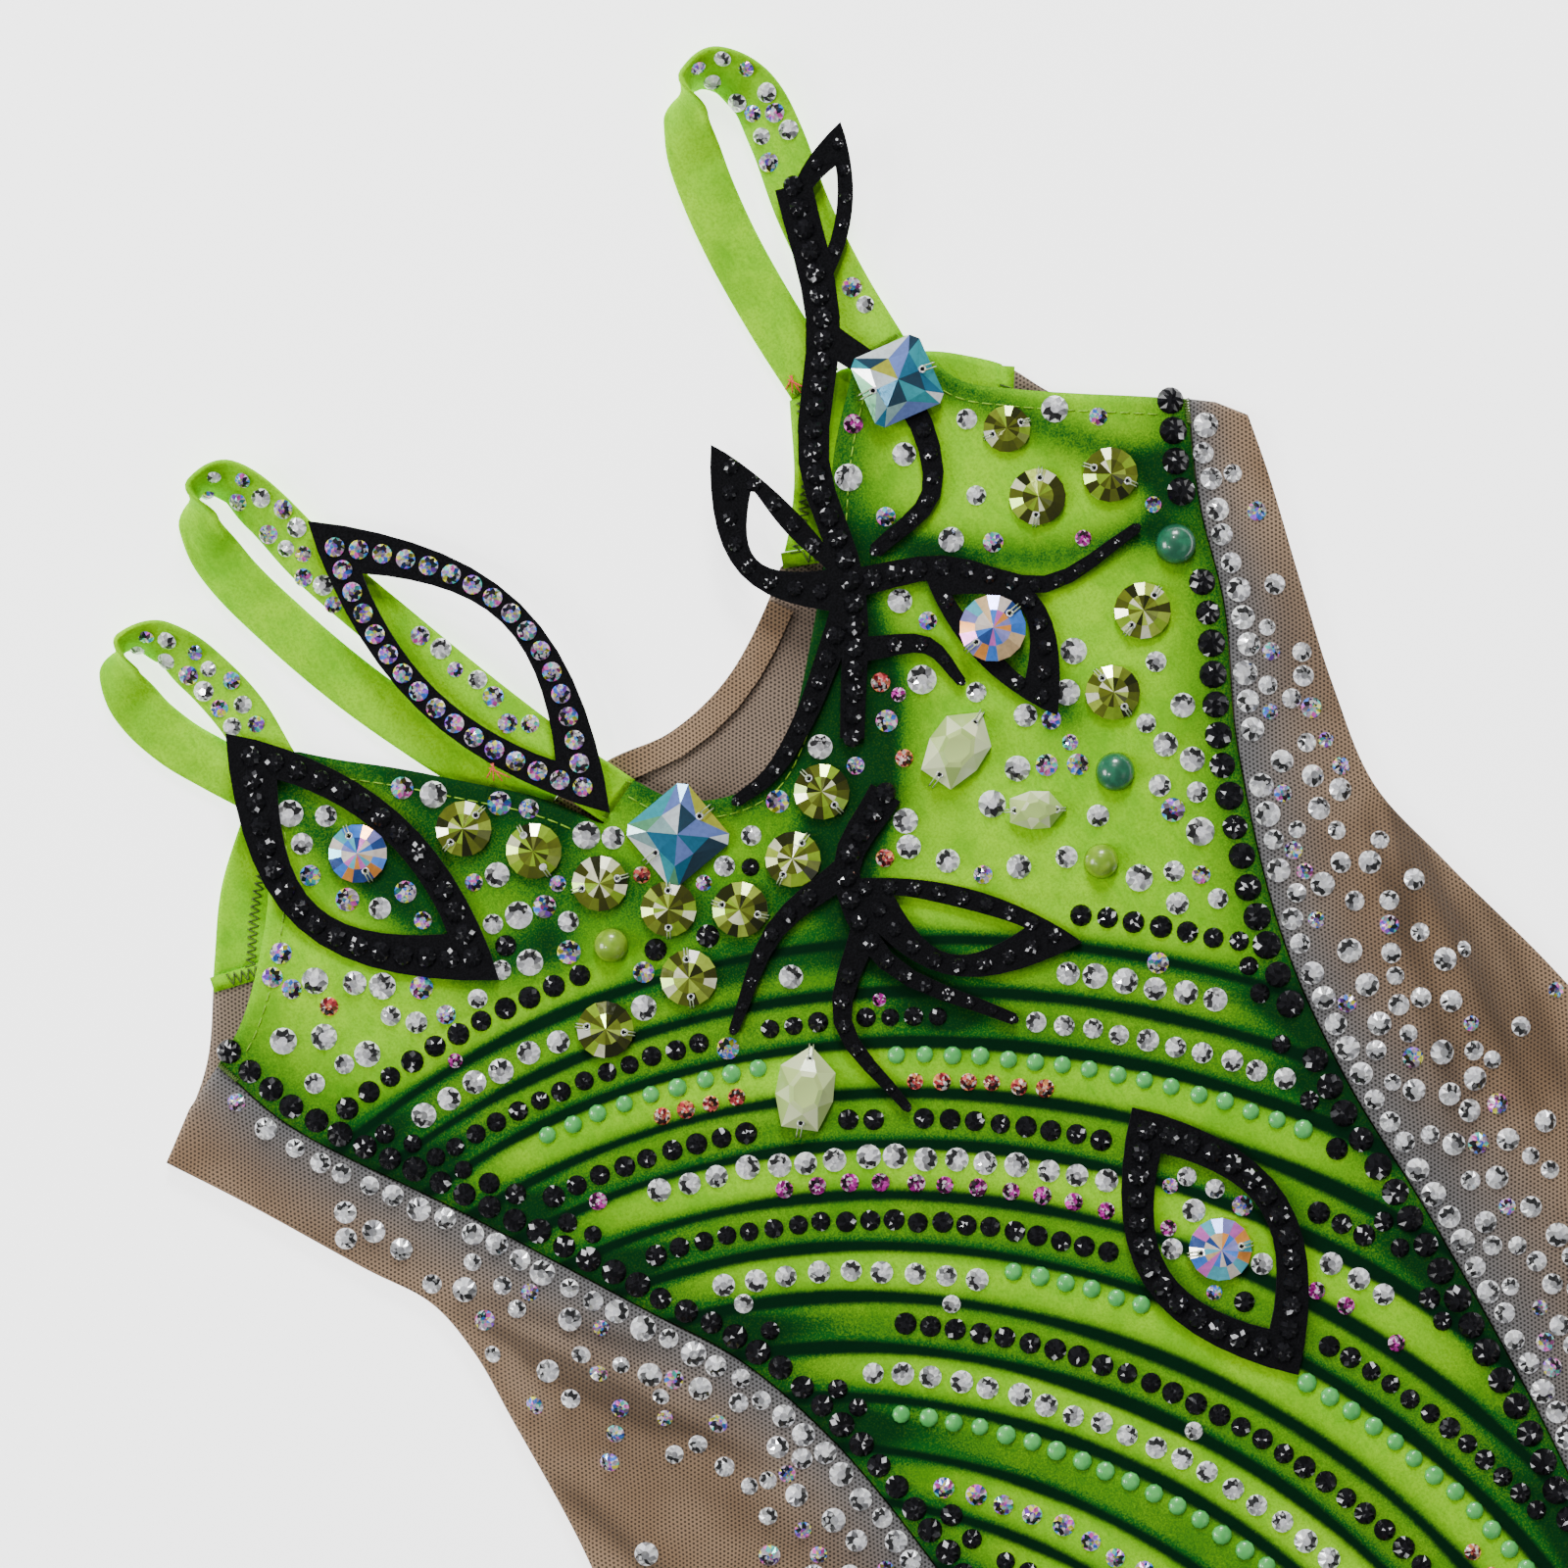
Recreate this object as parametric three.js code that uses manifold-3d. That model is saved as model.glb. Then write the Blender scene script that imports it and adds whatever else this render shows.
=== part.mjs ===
// A child's gymnastics leotard, lying flat on its back with the front side up.
// Millimetres. +X is the viewer's right across the front, +Y runs from the crotch to the shoulders
// and +Z is up. The tables below count "across" and "up" from the middle of the neck.

import * as THREE from "three";
import { mergeVertices } from "three/addons/utils/BufferGeometryUtils.js";
import Module from "manifold-3d";

const wasm = await Module();
wasm.setup();

// Driving dimensions

const SEAM_GAP = 0.3; // between pieces that meet
const BACK_WALL = 1.1; // power mesh of the back
const CORNER_WALL = 1.5; // velvet corners and seat of the back
const VELVET_WALL = 1.5;
const MESH_WALL = 1.0; // power mesh of the front
const STRAP_WALL = 1.8;
const APPLIQUE_WALL = 1.1;
const BINDING_WALL = 0.9;
const BINDING_WIDTH = 5.6;
const LOFT = 2.4; // air between front and back in the middle of the body
const LOFT_REACH = 26; // how far in from a side seam the loft is full
const GRID = 6.5; // spacing of the cloth's grid where it shows
const HIDDEN_GRID = 13; // spacing of the rows below the waist
const HIDDEN_BELOW = -170;
const HIP = { across: 131, up: -232 };
const CROTCH = { half: 30, front: -391, back: -395 };

// Edges. Each row is [across, up].

const SIDE_LEFT = [
  [-141, -18], [-131.5, -33.6], [-117.6, -58.2], [-110, -71], [-107.8, -84], [-108.4, -99],
  [-110.5, -134], [-119, -175], [-128, -205], [-HIP.across, HIP.up],
];
const SIDE_RIGHT = [
  [127.8, -4.3], [125, -17], [119, -39], [113.4, -61], [110, -82], [114, -103],
  [121.4, -134], [128, -175], [131, -205], [HIP.across, HIP.up],
];
const SEAM_LEFT = [
  [-121, -6.6], [-115, -25], [-94, -59], [-73, -95], [-62, -114], [-54.5, -138], [-50.5, -168],
  [-49, -215], [-50, -262], [-53, -322],
];
const SEAM_RIGHT = [
  [118.8, 5], [109.5, -14.6], [102.8, -35], [90, -60.5], [77.3, -98], [73, -130],
  [72.8, -163.5], [70, -215], [63, -262], [56, -318],
];
const LEG_FRONT = [[HIP.across, HIP.up], [98, -264], [68, -298], [45, -340], [33, -372], [CROTCH.half, CROTCH.front]];
const LEG_BACK = [[HIP.across, HIP.up], [119, -276], [90, -326], [56, -364], [36, -386], [CROTCH.half, CROTCH.back]];
const ARMHOLE_LEFT = [[-85.4, 40], [-87, 30], [-93, 19], [-103.5, 6.4], [-112.8, -2], [-121, -6.6]];
const ARMHOLE_RIGHT = [[118.8, 5], [109, 11.7], [100.6, 17.4], [89, 25.8], [81, 33], [76.8, 46.6]];
const NECK_FRONT_RIGHT = [
  [64.4, 46.6], [52, 34], [40, 18], [27, 3], [14, -10], [4, -15.5], [-6, -14], [-14, -8.6], [-18.3, -1.7],
];
const NECK_FRONT_LEFT = [
  [-28.6, -6.2], [-33.4, 1.2], [-38.6, 7.4], [-46, 14.4], [-58.5, 26], [-68, 34], [-74.4, 40],
];
const NECK_BACK_LEFT = [[-80.4, 40], [-72, 33], [-63, 22], [-54, 9], [-43.7, 0.3]];
const NECK_BACK_RIGHT = [
  [-33.4, 3.8], [-20, 4.5], [-7.5, 2.7], [6, 5], [17.5, 10.5], [31, 20.5], [41, 32], [49.6, 47.6],
];
const BACK_ARMHOLE_LEFT = [[-141, -18], [-124, -5.6], [-111.5, 11.4], [-102, 24], [-90, 34.6]];
const BACK_ARMHOLE_RIGHT = [
  [62, 47.5], [78, 42], [86, 35.8], [91.2, 30.2], [97, 19.5], [108, 9.5], [127.8, -4.3],
];
const CORNER_LEFT = [[-114, 8], [-100, 5], [-80, 8], [-63, 22]];
const CORNER_RIGHT = [[31, 20.5], [48, 14], [68, 11], [82, 18], [91.2, 30.2]];
const SEAT_LINE = [[-HIP.across, HIP.up], [-70, -205], [0, -196], [70, -205], [HIP.across, HIP.up]];

// Folds of the front cloth: a soft ridge from one point to the other
const FOLDS = [
  { name: "left waist crease", from: [-107, -79], to: [-68, -151], height: 3.6, width: 6.5 },
  { name: "left crease behind it", from: [-104, -96], to: [-84, -150], height: 1.6, width: 8 },
  { name: "right waist crease", from: [109, -92], to: [100, -134], height: 3.4, width: 6 },
  { name: "right soft fold", from: [96, -70], to: [84, -150], height: 2.2, width: 9 },
  { name: "neck wave", from: [-2, -32], to: [22, -92], height: 1.4, width: 13 },
  { name: "left chest wave", from: [-84, 4], to: [-52, -58], height: 1.2, width: 12 },
  { name: "left hip fold", from: [-118, -190], to: [-62, -238], height: 2.4, width: 10 },
  { name: "right hip fold", from: [119, -182], to: [66, -246], height: 2.2, width: 10 },
  { name: "belly wave", from: [-20, -180], to: [30, -262], height: 1.6, width: 15 },
  { name: "crotch crease", from: [-16, -318], to: [10, -362], height: 1.4, width: 8 },
];

// Straps: rise is how high the middle line lies, roll is how far the band has turned over, in degrees
const STRAPS = [
  {
    name: "strap_a", width: 11.4,
    route: [
      { across: 70.6, up: 47.1, rise: 3.6, roll: 0 }, { across: 70.8, up: 62, rise: 3, roll: 0 },
      { across: 72.4, up: 79, rise: 2.6, roll: 4 }, { across: 75.6, up: 95, rise: 2.6, roll: 10 },
      { across: 76.2, up: 105, rise: 3.4, roll: 26 }, { across: 72.4, up: 112.6, rise: 4.8, roll: 46 },
      { across: 66.4, up: 113.6, rise: 5.4, roll: 72 }, { across: 61.8, up: 107.6, rise: 3.8, roll: 142 },
      { across: 58.6, up: 97, rise: 1.6, roll: 172 }, { across: 56.4, up: 82, rise: 0.9, roll: 180 },
      { across: 55.6, up: 64, rise: 0.9, roll: 180 }, { across: 55.8, up: 48.4, rise: 0.9, roll: 180 },
    ],
  },
  {
    name: "strap_b", width: 10.8,
    route: [
      { across: -23.4, up: -3.4, rise: 3.6, roll: 0 }, { across: -29.4, up: 10, rise: 4.2, roll: 0 },
      { across: -36, up: 27, rise: 3.6, roll: 0 }, { across: -44, up: 50, rise: 2.8, roll: 0 },
      { across: -50.4, up: 70, rise: 2.6, roll: 6 }, { across: -53.6, up: 85, rise: 3.2, roll: 20 },
      { across: -56.6, up: 93.6, rise: 4.6, roll: 42 }, { across: -62.6, up: 95.8, rise: 5.4, roll: 74 },
      { across: -66.4, up: 89.6, rise: 3.8, roll: 144 }, { across: -66.6, up: 79, rise: 1.5, roll: 174 },
      { across: -62.6, up: 62, rise: 0.9, roll: 180 }, { across: -56.8, up: 44.4, rise: 0.9, roll: 180 },
      { across: -49.6, up: 27.6, rise: 0.9, roll: 180 }, { across: -42.6, up: 13, rise: 0.9, roll: 180 },
      { across: -38.6, up: 2.6, rise: 0.9, roll: 180 },
    ],
  },
  {
    name: "strap_c", width: 10.8,
    route: [
      { across: -79.7, up: 40.4, rise: 3.6, roll: 0 }, { across: -79.6, up: 52, rise: 3, roll: 0 },
      { across: -82, up: 64, rise: 3.2, roll: 14 }, { across: -85.4, up: 72.8, rise: 4.6, roll: 40 },
      { across: -91.6, up: 76.6, rise: 5.4, roll: 74 }, { across: -96.4, up: 72, rise: 3.8, roll: 144 },
      { across: -96.8, up: 63.4, rise: 1.5, roll: 174 }, { across: -94.2, up: 54.4, rise: 0.9, roll: 180 },
      { across: -90, up: 46.4, rise: 0.9, roll: 180 }, { across: -85.2, up: 38.2, rise: 0.9, roll: 180 },
    ],
  },
];

// Open pointed frames of black applique: half is half the width across the points
const FRAMES = [
  { name: "applique_strap_frame", from: [-47, 78], to: [-26, -5], half: 15, band: 5.4, bend: 3 },
  { name: "applique_shoulder_frame", from: [-84, 50], to: [-63, -22], half: 15.5, band: 5.8, bend: -4 },
  { name: "applique_waist_frame", from: [33, -112], to: [33, -176], half: 17, band: 5.8, bend: 0 },
];

// Tendrils of the scrollwork, broad at the root and pointed at the tip
const SCROLLS = [
  {
    name: "applique_neck_scroll",
    tendrils: [
      { points: [[73, 84], [64, 58], [47, 34], [40, 8], [24, -18]], root: 7.6, tip: 5 },
      { points: [[62, 56], [70, 34], [64, 16], [48, 12]], root: 6, tip: 3 },
      { points: [[40, 9], [58, 2], [74, -12], [96, -12]], root: 6, tip: 2.2 },
      { points: [[36, -4], [47, -10], [49, -20]], root: 5, tip: 2 },
      { points: [[40, 8], [29, -1], [17, -10], [6, -15.5], [-3, -16.5]], root: 6, tip: 2.4 },
    ],
    leaves: [
      { from: [55, 6], to: [62, -36], half: 9, band: 4.2, bend: 4 },
      { from: [31, 48], to: [40, 2], half: 8.5, band: 4.4, bend: -5 },
      { from: [88, 90], to: [66, 62], half: 6.4, band: 3.2, bend: -2 },
    ],
  },
  {
    name: "applique_chest_scroll",
    tendrils: [
      { points: [[24, -31], [9, -40], [6, -60], [22, -84]], root: 7, tip: 2.4 },
      { points: [[10, -40], [-10, -43], [-28, -56]], root: 6, tip: 2 },
      { points: [[6, -52], [-8, -66], [-6, -88]], root: 5.6, tip: 2 },
    ],
    leaves: [{ from: [6, -41], to: [42, -78], half: 9, band: 4.2, bend: -4 }],
  },
];

const LEAF_STEPS = 14;

// Large stones: over is how high a stone sits above the velvet
const STONE_HEIGHT = { round: 3.4, square: 4, cut: 4.6, dome: 3.2 };
const ON_VELVET = SEAM_GAP;
const ON_APPLIQUE = 2 * SEAM_GAP + APPLIQUE_WALL;
const NECK_ROW = {
  guide: [[-53, 8], [-42, -5], [-32.5, -20], [-17, -35], [0, -33], [13, -24]], count: 7, radius: 5.7,
};
const STONES = [
  { name: "stone_square_neck", shape: "square", finish: "aurora", at: [-16.5, -16], size: 6.8, turn: 8, over: ON_VELVET },
  { name: "stone_square_shoulder", shape: "square", finish: "aurora", at: [70, 39], size: 6.4, turn: -8, over: ON_APPLIQUE },
  { name: "stone_chest_large", shape: "round", finish: "aurora", at: [60, -14], size: 6.8, turn: 0, over: ON_APPLIQUE },
  { name: "stone_chest_1", shape: "round", finish: "peridot", at: [82, 4], size: 5.8, turn: 0, over: ON_VELVET },
  { name: "stone_chest_2", shape: "round", finish: "peridot", at: [97, 0], size: 5.6, turn: 0, over: ON_VELVET },
  { name: "stone_chest_3", shape: "round", finish: "peridot", at: [88, -27], size: 5.8, turn: 0, over: ON_VELVET },
  { name: "stone_chest_4", shape: "round", finish: "peridot", at: [74, -38], size: 5.6, turn: 0, over: ON_VELVET },
  { name: "stone_chest_5", shape: "round", finish: "peridot", at: [84, 19], size: 4.8, turn: 0, over: ON_VELVET },
  { name: "stone_milky_1", shape: "cut", finish: "milky", at: [41, -31], size: 7.4, turn: 24, over: ON_VELVET },
  { name: "stone_milky_2", shape: "cut", finish: "milky", at: [48, -50], size: 5, turn: -30, over: ON_VELVET },
  { name: "stone_milky_3", shape: "cut", finish: "milky", at: [-22, -74], size: 7.6, turn: 50, over: ON_VELVET },
  { name: "stone_lower_1", shape: "round", finish: "peridot", at: [-30, -42], size: 5.8, turn: 0, over: ON_VELVET },
  { name: "stone_lower_2", shape: "round", finish: "peridot", at: [-50, -42], size: 5.8, turn: 0, over: ON_VELVET },
  { name: "stone_frame_round", shape: "round", finish: "aurora", at: [-74, 15], size: 6, turn: 0, over: ON_VELVET },
  { name: "stone_dome_1", shape: "dome", finish: "dark green", at: [66, -52], size: 4, turn: 0, over: ON_VELVET },
  { name: "stone_dome_2", shape: "dome", finish: "dark green", at: [101, -19], size: 4.2, turn: 0, over: ON_VELVET },
  { name: "stone_pearl_1", shape: "dome", finish: "lime pearl", at: [-40, -28], size: 3.6, turn: 0, over: ON_VELVET },
  { name: "stone_pearl_2", shape: "dome", finish: "lime pearl", at: [54, -66], size: 3.6, turn: 0, over: ON_VELVET },
  { name: "stone_waist_round", shape: "round", finish: "aurora", at: [33, -146], size: 6.4, turn: 0, over: ON_VELVET },
];

const FINISH = {
  velvet: { color: 0xa4f000, roughness: 0.75, metalness: 0 },
  mesh: { color: 0x8d7763, roughness: 0.8, metalness: 0 },
  applique: { color: 0x121212, roughness: 0.7, metalness: 0 },
  aurora: { color: 0xd9e4f2, roughness: 0.08, metalness: 0.3 },
  peridot: { color: 0x9fc62a, roughness: 0.08, metalness: 0.2 },
  milky: { color: 0xe4e8b4, roughness: 0.2, metalness: 0 },
  "dark green": { color: 0x0d3a22, roughness: 0.15, metalness: 0.1 },
  "lime pearl": { color: 0xb8ee3c, roughness: 0.3, metalness: 0.1 },
};

// Curves and heights

const ramp = (t) => THREE.MathUtils.smoothstep(t, 0, 1);
const mirrored = (edge) => edge.map(([across, up]) => [-across, up]).reverse();
const reversed = (edge) => edge.slice().reverse();

// A smooth run through the rows of an edge, with a few points between two rows
function smooth(edge, between = 2) {
  const points = edge.map(([across, up]) => new THREE.Vector3(across, up, 0));
  const curve = new THREE.CatmullRomCurve3(points, false, "centripetal");
  return curve.getPoints((edge.length - 1) * between).map((p) => [p.x, p.y]);
}

// Moves an open edge sideways, to the right of its own direction
function offset(edge, distance) {
  return edge.map(([across, up], i) => {
    const [x0, y0] = edge[Math.max(i - 1, 0)];
    const [x1, y1] = edge[Math.min(i + 1, edge.length - 1)];
    const length = Math.hypot(x1 - x0, y1 - y0);
    return [across + (distance * (y1 - y0)) / length, up - (distance * (x1 - x0)) / length];
  });
}

// Where an edge that runs downwards lies across, at a height
function acrossAt(edge, up) {
  const i = Math.max(1, edge.findIndex((row) => row[1] <= up));
  const [x0, y0] = edge[i - 1];
  const [x1, y1] = edge[i];
  return THREE.MathUtils.lerp(x0, x1, THREE.MathUtils.clamp((y0 - up) / (y0 - y1), 0, 1));
}

// A fold is a bell across its line that fades out towards both ends
function foldHeight(fold, across, up) {
  const [x0, y0] = fold.from;
  const [x1, y1] = fold.to;
  const length = Math.hypot(x1 - x0, y1 - y0);
  const along = ((across - x0) * (x1 - x0) + (up - y0) * (y1 - y0)) / (length * length);
  const aside = ((across - x0) * (y1 - y0) - (up - y0) * (x1 - x0)) / length;
  const fade = ramp((along + 0.12) / 0.3) * ramp((1.25 - along) / 0.5);
  return fold.height * fade * Math.exp(-((aside / fold.width) ** 2));
}

// Height of the front cloth's inner face: it lifts off the back between the side seams
function softHeight(across, up) {
  const bottom = HIP.up;
  const row = Math.max(up, bottom);
  const inside = Math.min(across - acrossAt(SIDE_LEFT, row), acrossAt(SIDE_RIGHT, row) - across);
  const loft = LOFT * ramp(inside / LOFT_REACH) * (1 - 0.45 * ramp((bottom - up) / 120));
  const ripple = 0.35 * Math.sin(across / 21 + up / 34) * ramp(inside / LOFT_REACH);
  const folds = FOLDS.reduce((sum, fold) => sum + foldHeight(fold, across, up), 0);
  return CORNER_WALL + SEAM_GAP + loft + ripple + folds * ramp((inside + 6) / 16);
}

// The cloth's grid lines, close together where the garment shows
const COLUMNS = [];
for (let across = -149.5; across < 140; across += GRID) COLUMNS.push(across);
const ROWS = [];
for (let up = 91; up > -410; up -= up > HIDDEN_BELOW ? GRID : HIDDEN_GRID) ROWS.push(up);

// Height on the cloth's own flat facets, so that what lies on them keeps its gap
function clothHeight(across, up) {
  const i = THREE.MathUtils.clamp(Math.floor((across - COLUMNS[0]) / GRID), 0, COLUMNS.length - 2);
  const j = THREE.MathUtils.clamp(ROWS.findIndex((row) => row < up) - 1, 0, ROWS.length - 2);
  const s = (across - COLUMNS[i]) / (COLUMNS[i + 1] - COLUMNS[i]);
  const t = (up - ROWS[j]) / (ROWS[j + 1] - ROWS[j]);
  const h00 = softHeight(COLUMNS[i], ROWS[j]);
  const h11 = softHeight(COLUMNS[i + 1], ROWS[j + 1]);
  if (s > t) {
    const h10 = softHeight(COLUMNS[i + 1], ROWS[j]);
    return h00 + s * (h10 - h00) + t * (h11 - h10);
  }
  const h01 = softHeight(COLUMNS[i], ROWS[j + 1]);
  return h00 + t * (h01 - h00) + s * (h11 - h01);
}

// Solids

function toSolid(geometry) {
  const plain = geometry.clone();
  plain.deleteAttribute("normal");
  plain.deleteAttribute("uv");
  const merged = mergeVertices(plain, 1e-4);
  const vertProperties = new Float32Array(merged.attributes.position.array);
  const triVerts = new Uint32Array(merged.index.array);
  return new wasm.Manifold(new wasm.Mesh({ numProp: 3, vertProperties, triVerts }));
}

function toGeometry(solid) {
  const { vertProperties, triVerts } = solid.getMesh();
  const geometry = new THREE.BufferGeometry();
  geometry.setAttribute("position", new THREE.BufferAttribute(vertProperties, 3));
  geometry.setIndex(new THREE.BufferAttribute(triVerts, 1));
  geometry.computeVertexNormals();
  return geometry;
}

// An outline drawn up into a solid, with any holes
function prism(outline, holes, bottom, top) {
  const shape = new THREE.Shape(outline.map(([across, up]) => new THREE.Vector2(across, up)));
  shape.holes = holes.map((hole) => new THREE.Path(hole.map(([across, up]) => new THREE.Vector2(across, up))));
  const geometry = new THREE.ExtrudeGeometry(shape, { depth: top - bottom, bevelEnabled: false });
  return geometry.translate(0, 0, bottom);
}

// The whole grid as a slab of cloth that starts a given height above the soft surface
function clothSlab(lift, thickness) {
  const positions = [];
  const faces = [];
  const across = COLUMNS.length;
  const layer = across * ROWS.length;
  for (const level of [lift, lift + thickness])
    for (const up of ROWS) for (const x of COLUMNS) positions.push(x, up, softHeight(x, up) + level);
  const quad = (a, b, c, d) => faces.push(a, b, c, a, c, d);
  for (let j = 0; j < ROWS.length - 1; j++)
    for (let i = 0; i < across - 1; i++) {
      const corner = j * across + i;
      quad(corner, corner + 1, corner + across + 1, corner + across);
      quad(layer + corner, layer + corner + across, layer + corner + across + 1, layer + corner + 1);
    }
  // The rim is walked clockwise as seen from above, so that its walls face out
  const rim = [];
  for (let i = 0; i < across - 1; i++) rim.push(i);
  for (let j = 0; j < ROWS.length - 1; j++) rim.push(j * across + across - 1);
  for (let i = across - 1; i > 0; i--) rim.push((ROWS.length - 1) * across + i);
  for (let j = ROWS.length - 1; j > 0; j--) rim.push(j * across);
  rim.forEach((a, k) => {
    const b = rim[(k + 1) % rim.length];
    quad(a, a + layer, b + layer, b);
  });
  const geometry = new THREE.BufferGeometry();
  geometry.setAttribute("position", new THREE.BufferAttribute(new Float32Array(positions), 3));
  geometry.setIndex(faces);
  return toSolid(geometry);
}

// A ring of sections, closed at both ends
function sweptSolid(sections) {
  const count = sections[0].length;
  const positions = sections.flat().flatMap((p) => [p.x, p.y, p.z]);
  const faces = [];
  for (let k = 0; k < sections.length - 1; k++)
    for (let i = 0; i < count; i++) {
      const a = k * count + i;
      const b = k * count + ((i + 1) % count);
      faces.push(a, b, b + count, a, b + count, a + count);
    }
  const last = (sections.length - 1) * count;
  for (let i = 1; i < count - 1; i++) {
    faces.push(0, i + 1, i);
    faces.push(last, last + i, last + i + 1);
  }
  const geometry = new THREE.BufferGeometry();
  geometry.setAttribute("position", new THREE.BufferAttribute(new Float32Array(positions), 3));
  geometry.setIndex(faces);
  geometry.computeVertexNormals();
  return geometry;
}

// Garment

const leotard = new THREE.Group();

function addPiece(name, geometry, finish) {
  const piece = new THREE.Mesh(geometry, new THREE.MeshStandardMaterial(FINISH[finish]));
  piece.name = name;
  leotard.add(piece);
}

// Cloth of the front, cut from the slab by its outline
function addClothPiece(name, outlines, lift, thickness, finish) {
  const cutters = outlines.map(({ outline, holes = [] }) => toSolid(prism(outline, holes, -5, 40)));
  const cutter = wasm.Manifold.union(cutters);
  const piece = clothSlab(lift, thickness).intersect(cutter).simplify(0.02);
  addPiece(name, toGeometry(piece), finish);
}

function addFrontPanels() {
  const seamLeft = smooth(SEAM_LEFT);
  const seamRight = smooth(SEAM_RIGHT);
  const leg = smooth(LEG_FRONT);
  const legBelow = (seam) => leg.filter(([, up]) => up < seam.at(-1)[1] - 3);
  const legAbove = (seam) => leg.filter(([, up]) => up > seam.at(-1)[1] + 3);
  const velvet = [
    ...smooth(ARMHOLE_LEFT), ...seamLeft.slice(1), ...mirrored(legBelow(seamLeft)).reverse(),
    ...reversed(legBelow(seamRight)), ...reversed(seamRight), ...smooth(ARMHOLE_RIGHT).slice(1),
    ...smooth(NECK_FRONT_RIGHT), ...smooth(NECK_FRONT_LEFT),
  ];
  addClothPiece("front_velvet", [{ outline: velvet }], 0, VELVET_WALL, "velvet");
  const left = [
    ...offset(seamLeft, SEAM_GAP), ...mirrored(legAbove(seamLeft)), ...reversed(smooth(SIDE_LEFT)).slice(1),
  ];
  addClothPiece("front_mesh_left", [{ outline: left }], 0, MESH_WALL, "mesh");
  const right = [
    ...offset(seamRight, -SEAM_GAP), ...reversed(legAbove(seamRight)), ...reversed(smooth(SIDE_RIGHT)).slice(1),
  ];
  addClothPiece("front_mesh_right", [{ outline: right }], 0, MESH_WALL, "mesh");
}

function addBackPanels() {
  const neckLeft = smooth(NECK_BACK_LEFT);
  const neckRight = smooth(NECK_BACK_RIGHT);
  const armLeft = smooth(BACK_ARMHOLE_LEFT);
  const armRight = smooth(BACK_ARMHOLE_RIGHT);
  const cornerLeft = smooth(CORNER_LEFT);
  const cornerRight = smooth(CORNER_RIGHT);
  const seat = smooth(SEAT_LINE);
  const isCorner = ([across]) => across < CORNER_LEFT.at(-1)[0] - 1 || across > CORNER_RIGHT[0][0] + 1;
  const besideMesh = ([across]) => across > CORNER_LEFT.at(-1)[0] + 1 && across < CORNER_RIGHT[0][0] - 1;
  const mesh = [
    ...offset(cornerLeft, SEAM_GAP), ...neckLeft.filter(besideMesh), ...neckRight.filter(besideMesh),
    ...offset(cornerRight, SEAM_GAP),
    ...armRight.filter(([across]) => across > CORNER_RIGHT.at(-1)[0] + 2), ...smooth(SIDE_RIGHT).slice(1),
    ...offset(reversed(seat), SEAM_GAP).slice(1), ...reversed(smooth(SIDE_LEFT)).slice(1),
    ...armLeft.filter(([across]) => across < CORNER_LEFT[0][0] - 2).slice(1),
  ];
  addPiece("back_mesh", prism(mesh, [], 0, BACK_WALL), "mesh");
  const left = [
    ...cornerLeft, ...reversed(neckLeft.filter(isCorner)),
    ...reversed(armLeft.filter(([across]) => across > CORNER_LEFT[0][0] + 1)),
  ];
  addPiece("back_corner_left", prism(left, [], 0, CORNER_WALL), "velvet");
  const right = [
    ...reversed(cornerRight), ...neckRight.filter(isCorner),
    ...armRight.filter(([across]) => across < CORNER_RIGHT.at(-1)[0] - 1),
  ];
  addPiece("back_corner_right", prism(right, [], 0, CORNER_WALL), "velvet");
  const leg = smooth(LEG_BACK);
  const brief = [...seat, ...leg.slice(1), ...mirrored(leg).slice(0, -1)];
  addPiece("back_brief", prism(brief, [], 0, CORNER_WALL), "velvet");
  const edge = neckRight.filter(besideMesh);
  const binding = [...offset(edge, 0.2), ...reversed(offset(edge, BINDING_WIDTH))];
  const bottom = BACK_WALL + SEAM_GAP;
  addPiece("back_neck_binding", prism(binding, [], bottom, bottom + BINDING_WALL), "mesh");
}

// A strap's section is a flat band with softly rounded edges
const BAND_SECTION = [
  { side: -1, face: 0 }, { side: -0.88, face: -1 }, { side: 0.88, face: -1 },
  { side: 1, face: 0 }, { side: 0.88, face: 1 }, { side: -0.88, face: 1 },
];

function addStrap({ name, width, route }) {
  const line = new THREE.CatmullRomCurve3(
    route.map(({ across, up, rise }) => new THREE.Vector3(across, up, rise)), false, "centripetal");
  const steps = (route.length - 1) * 3;
  const sections = [];
  for (let k = 0; k <= steps; k++) {
    const t = k / steps;
    const place = t * (route.length - 1);
    const i = Math.min(Math.floor(place), route.length - 2);
    const roll = THREE.MathUtils.degToRad(THREE.MathUtils.lerp(route[i].roll, route[i + 1].roll, ramp(place - i)));
    const tangent = line.getTangent(t).setZ(0).normalize();
    const sideways = new THREE.Vector3(tangent.y, -tangent.x, 0);
    const wide = sideways.clone().multiplyScalar(Math.cos(roll)).add(new THREE.Vector3(0, 0, Math.sin(roll)));
    const thick = new THREE.Vector3().crossVectors(tangent, wide).normalize();
    const middle = line.getPoint(t);
    const reach = Math.abs(wide.z) * (width / 2) + Math.abs(thick.z) * (STRAP_WALL / 2);
    middle.z = Math.max(middle.z, reach);
    sections.push(BAND_SECTION.map(({ side, face }) => middle.clone()
      .addScaledVector(wide, (side * width) / 2).addScaledVector(thick, (face * STRAP_WALL) / 2)));
  }
  addPiece(name, sweptSolid(sections), "velvet");
}

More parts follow.
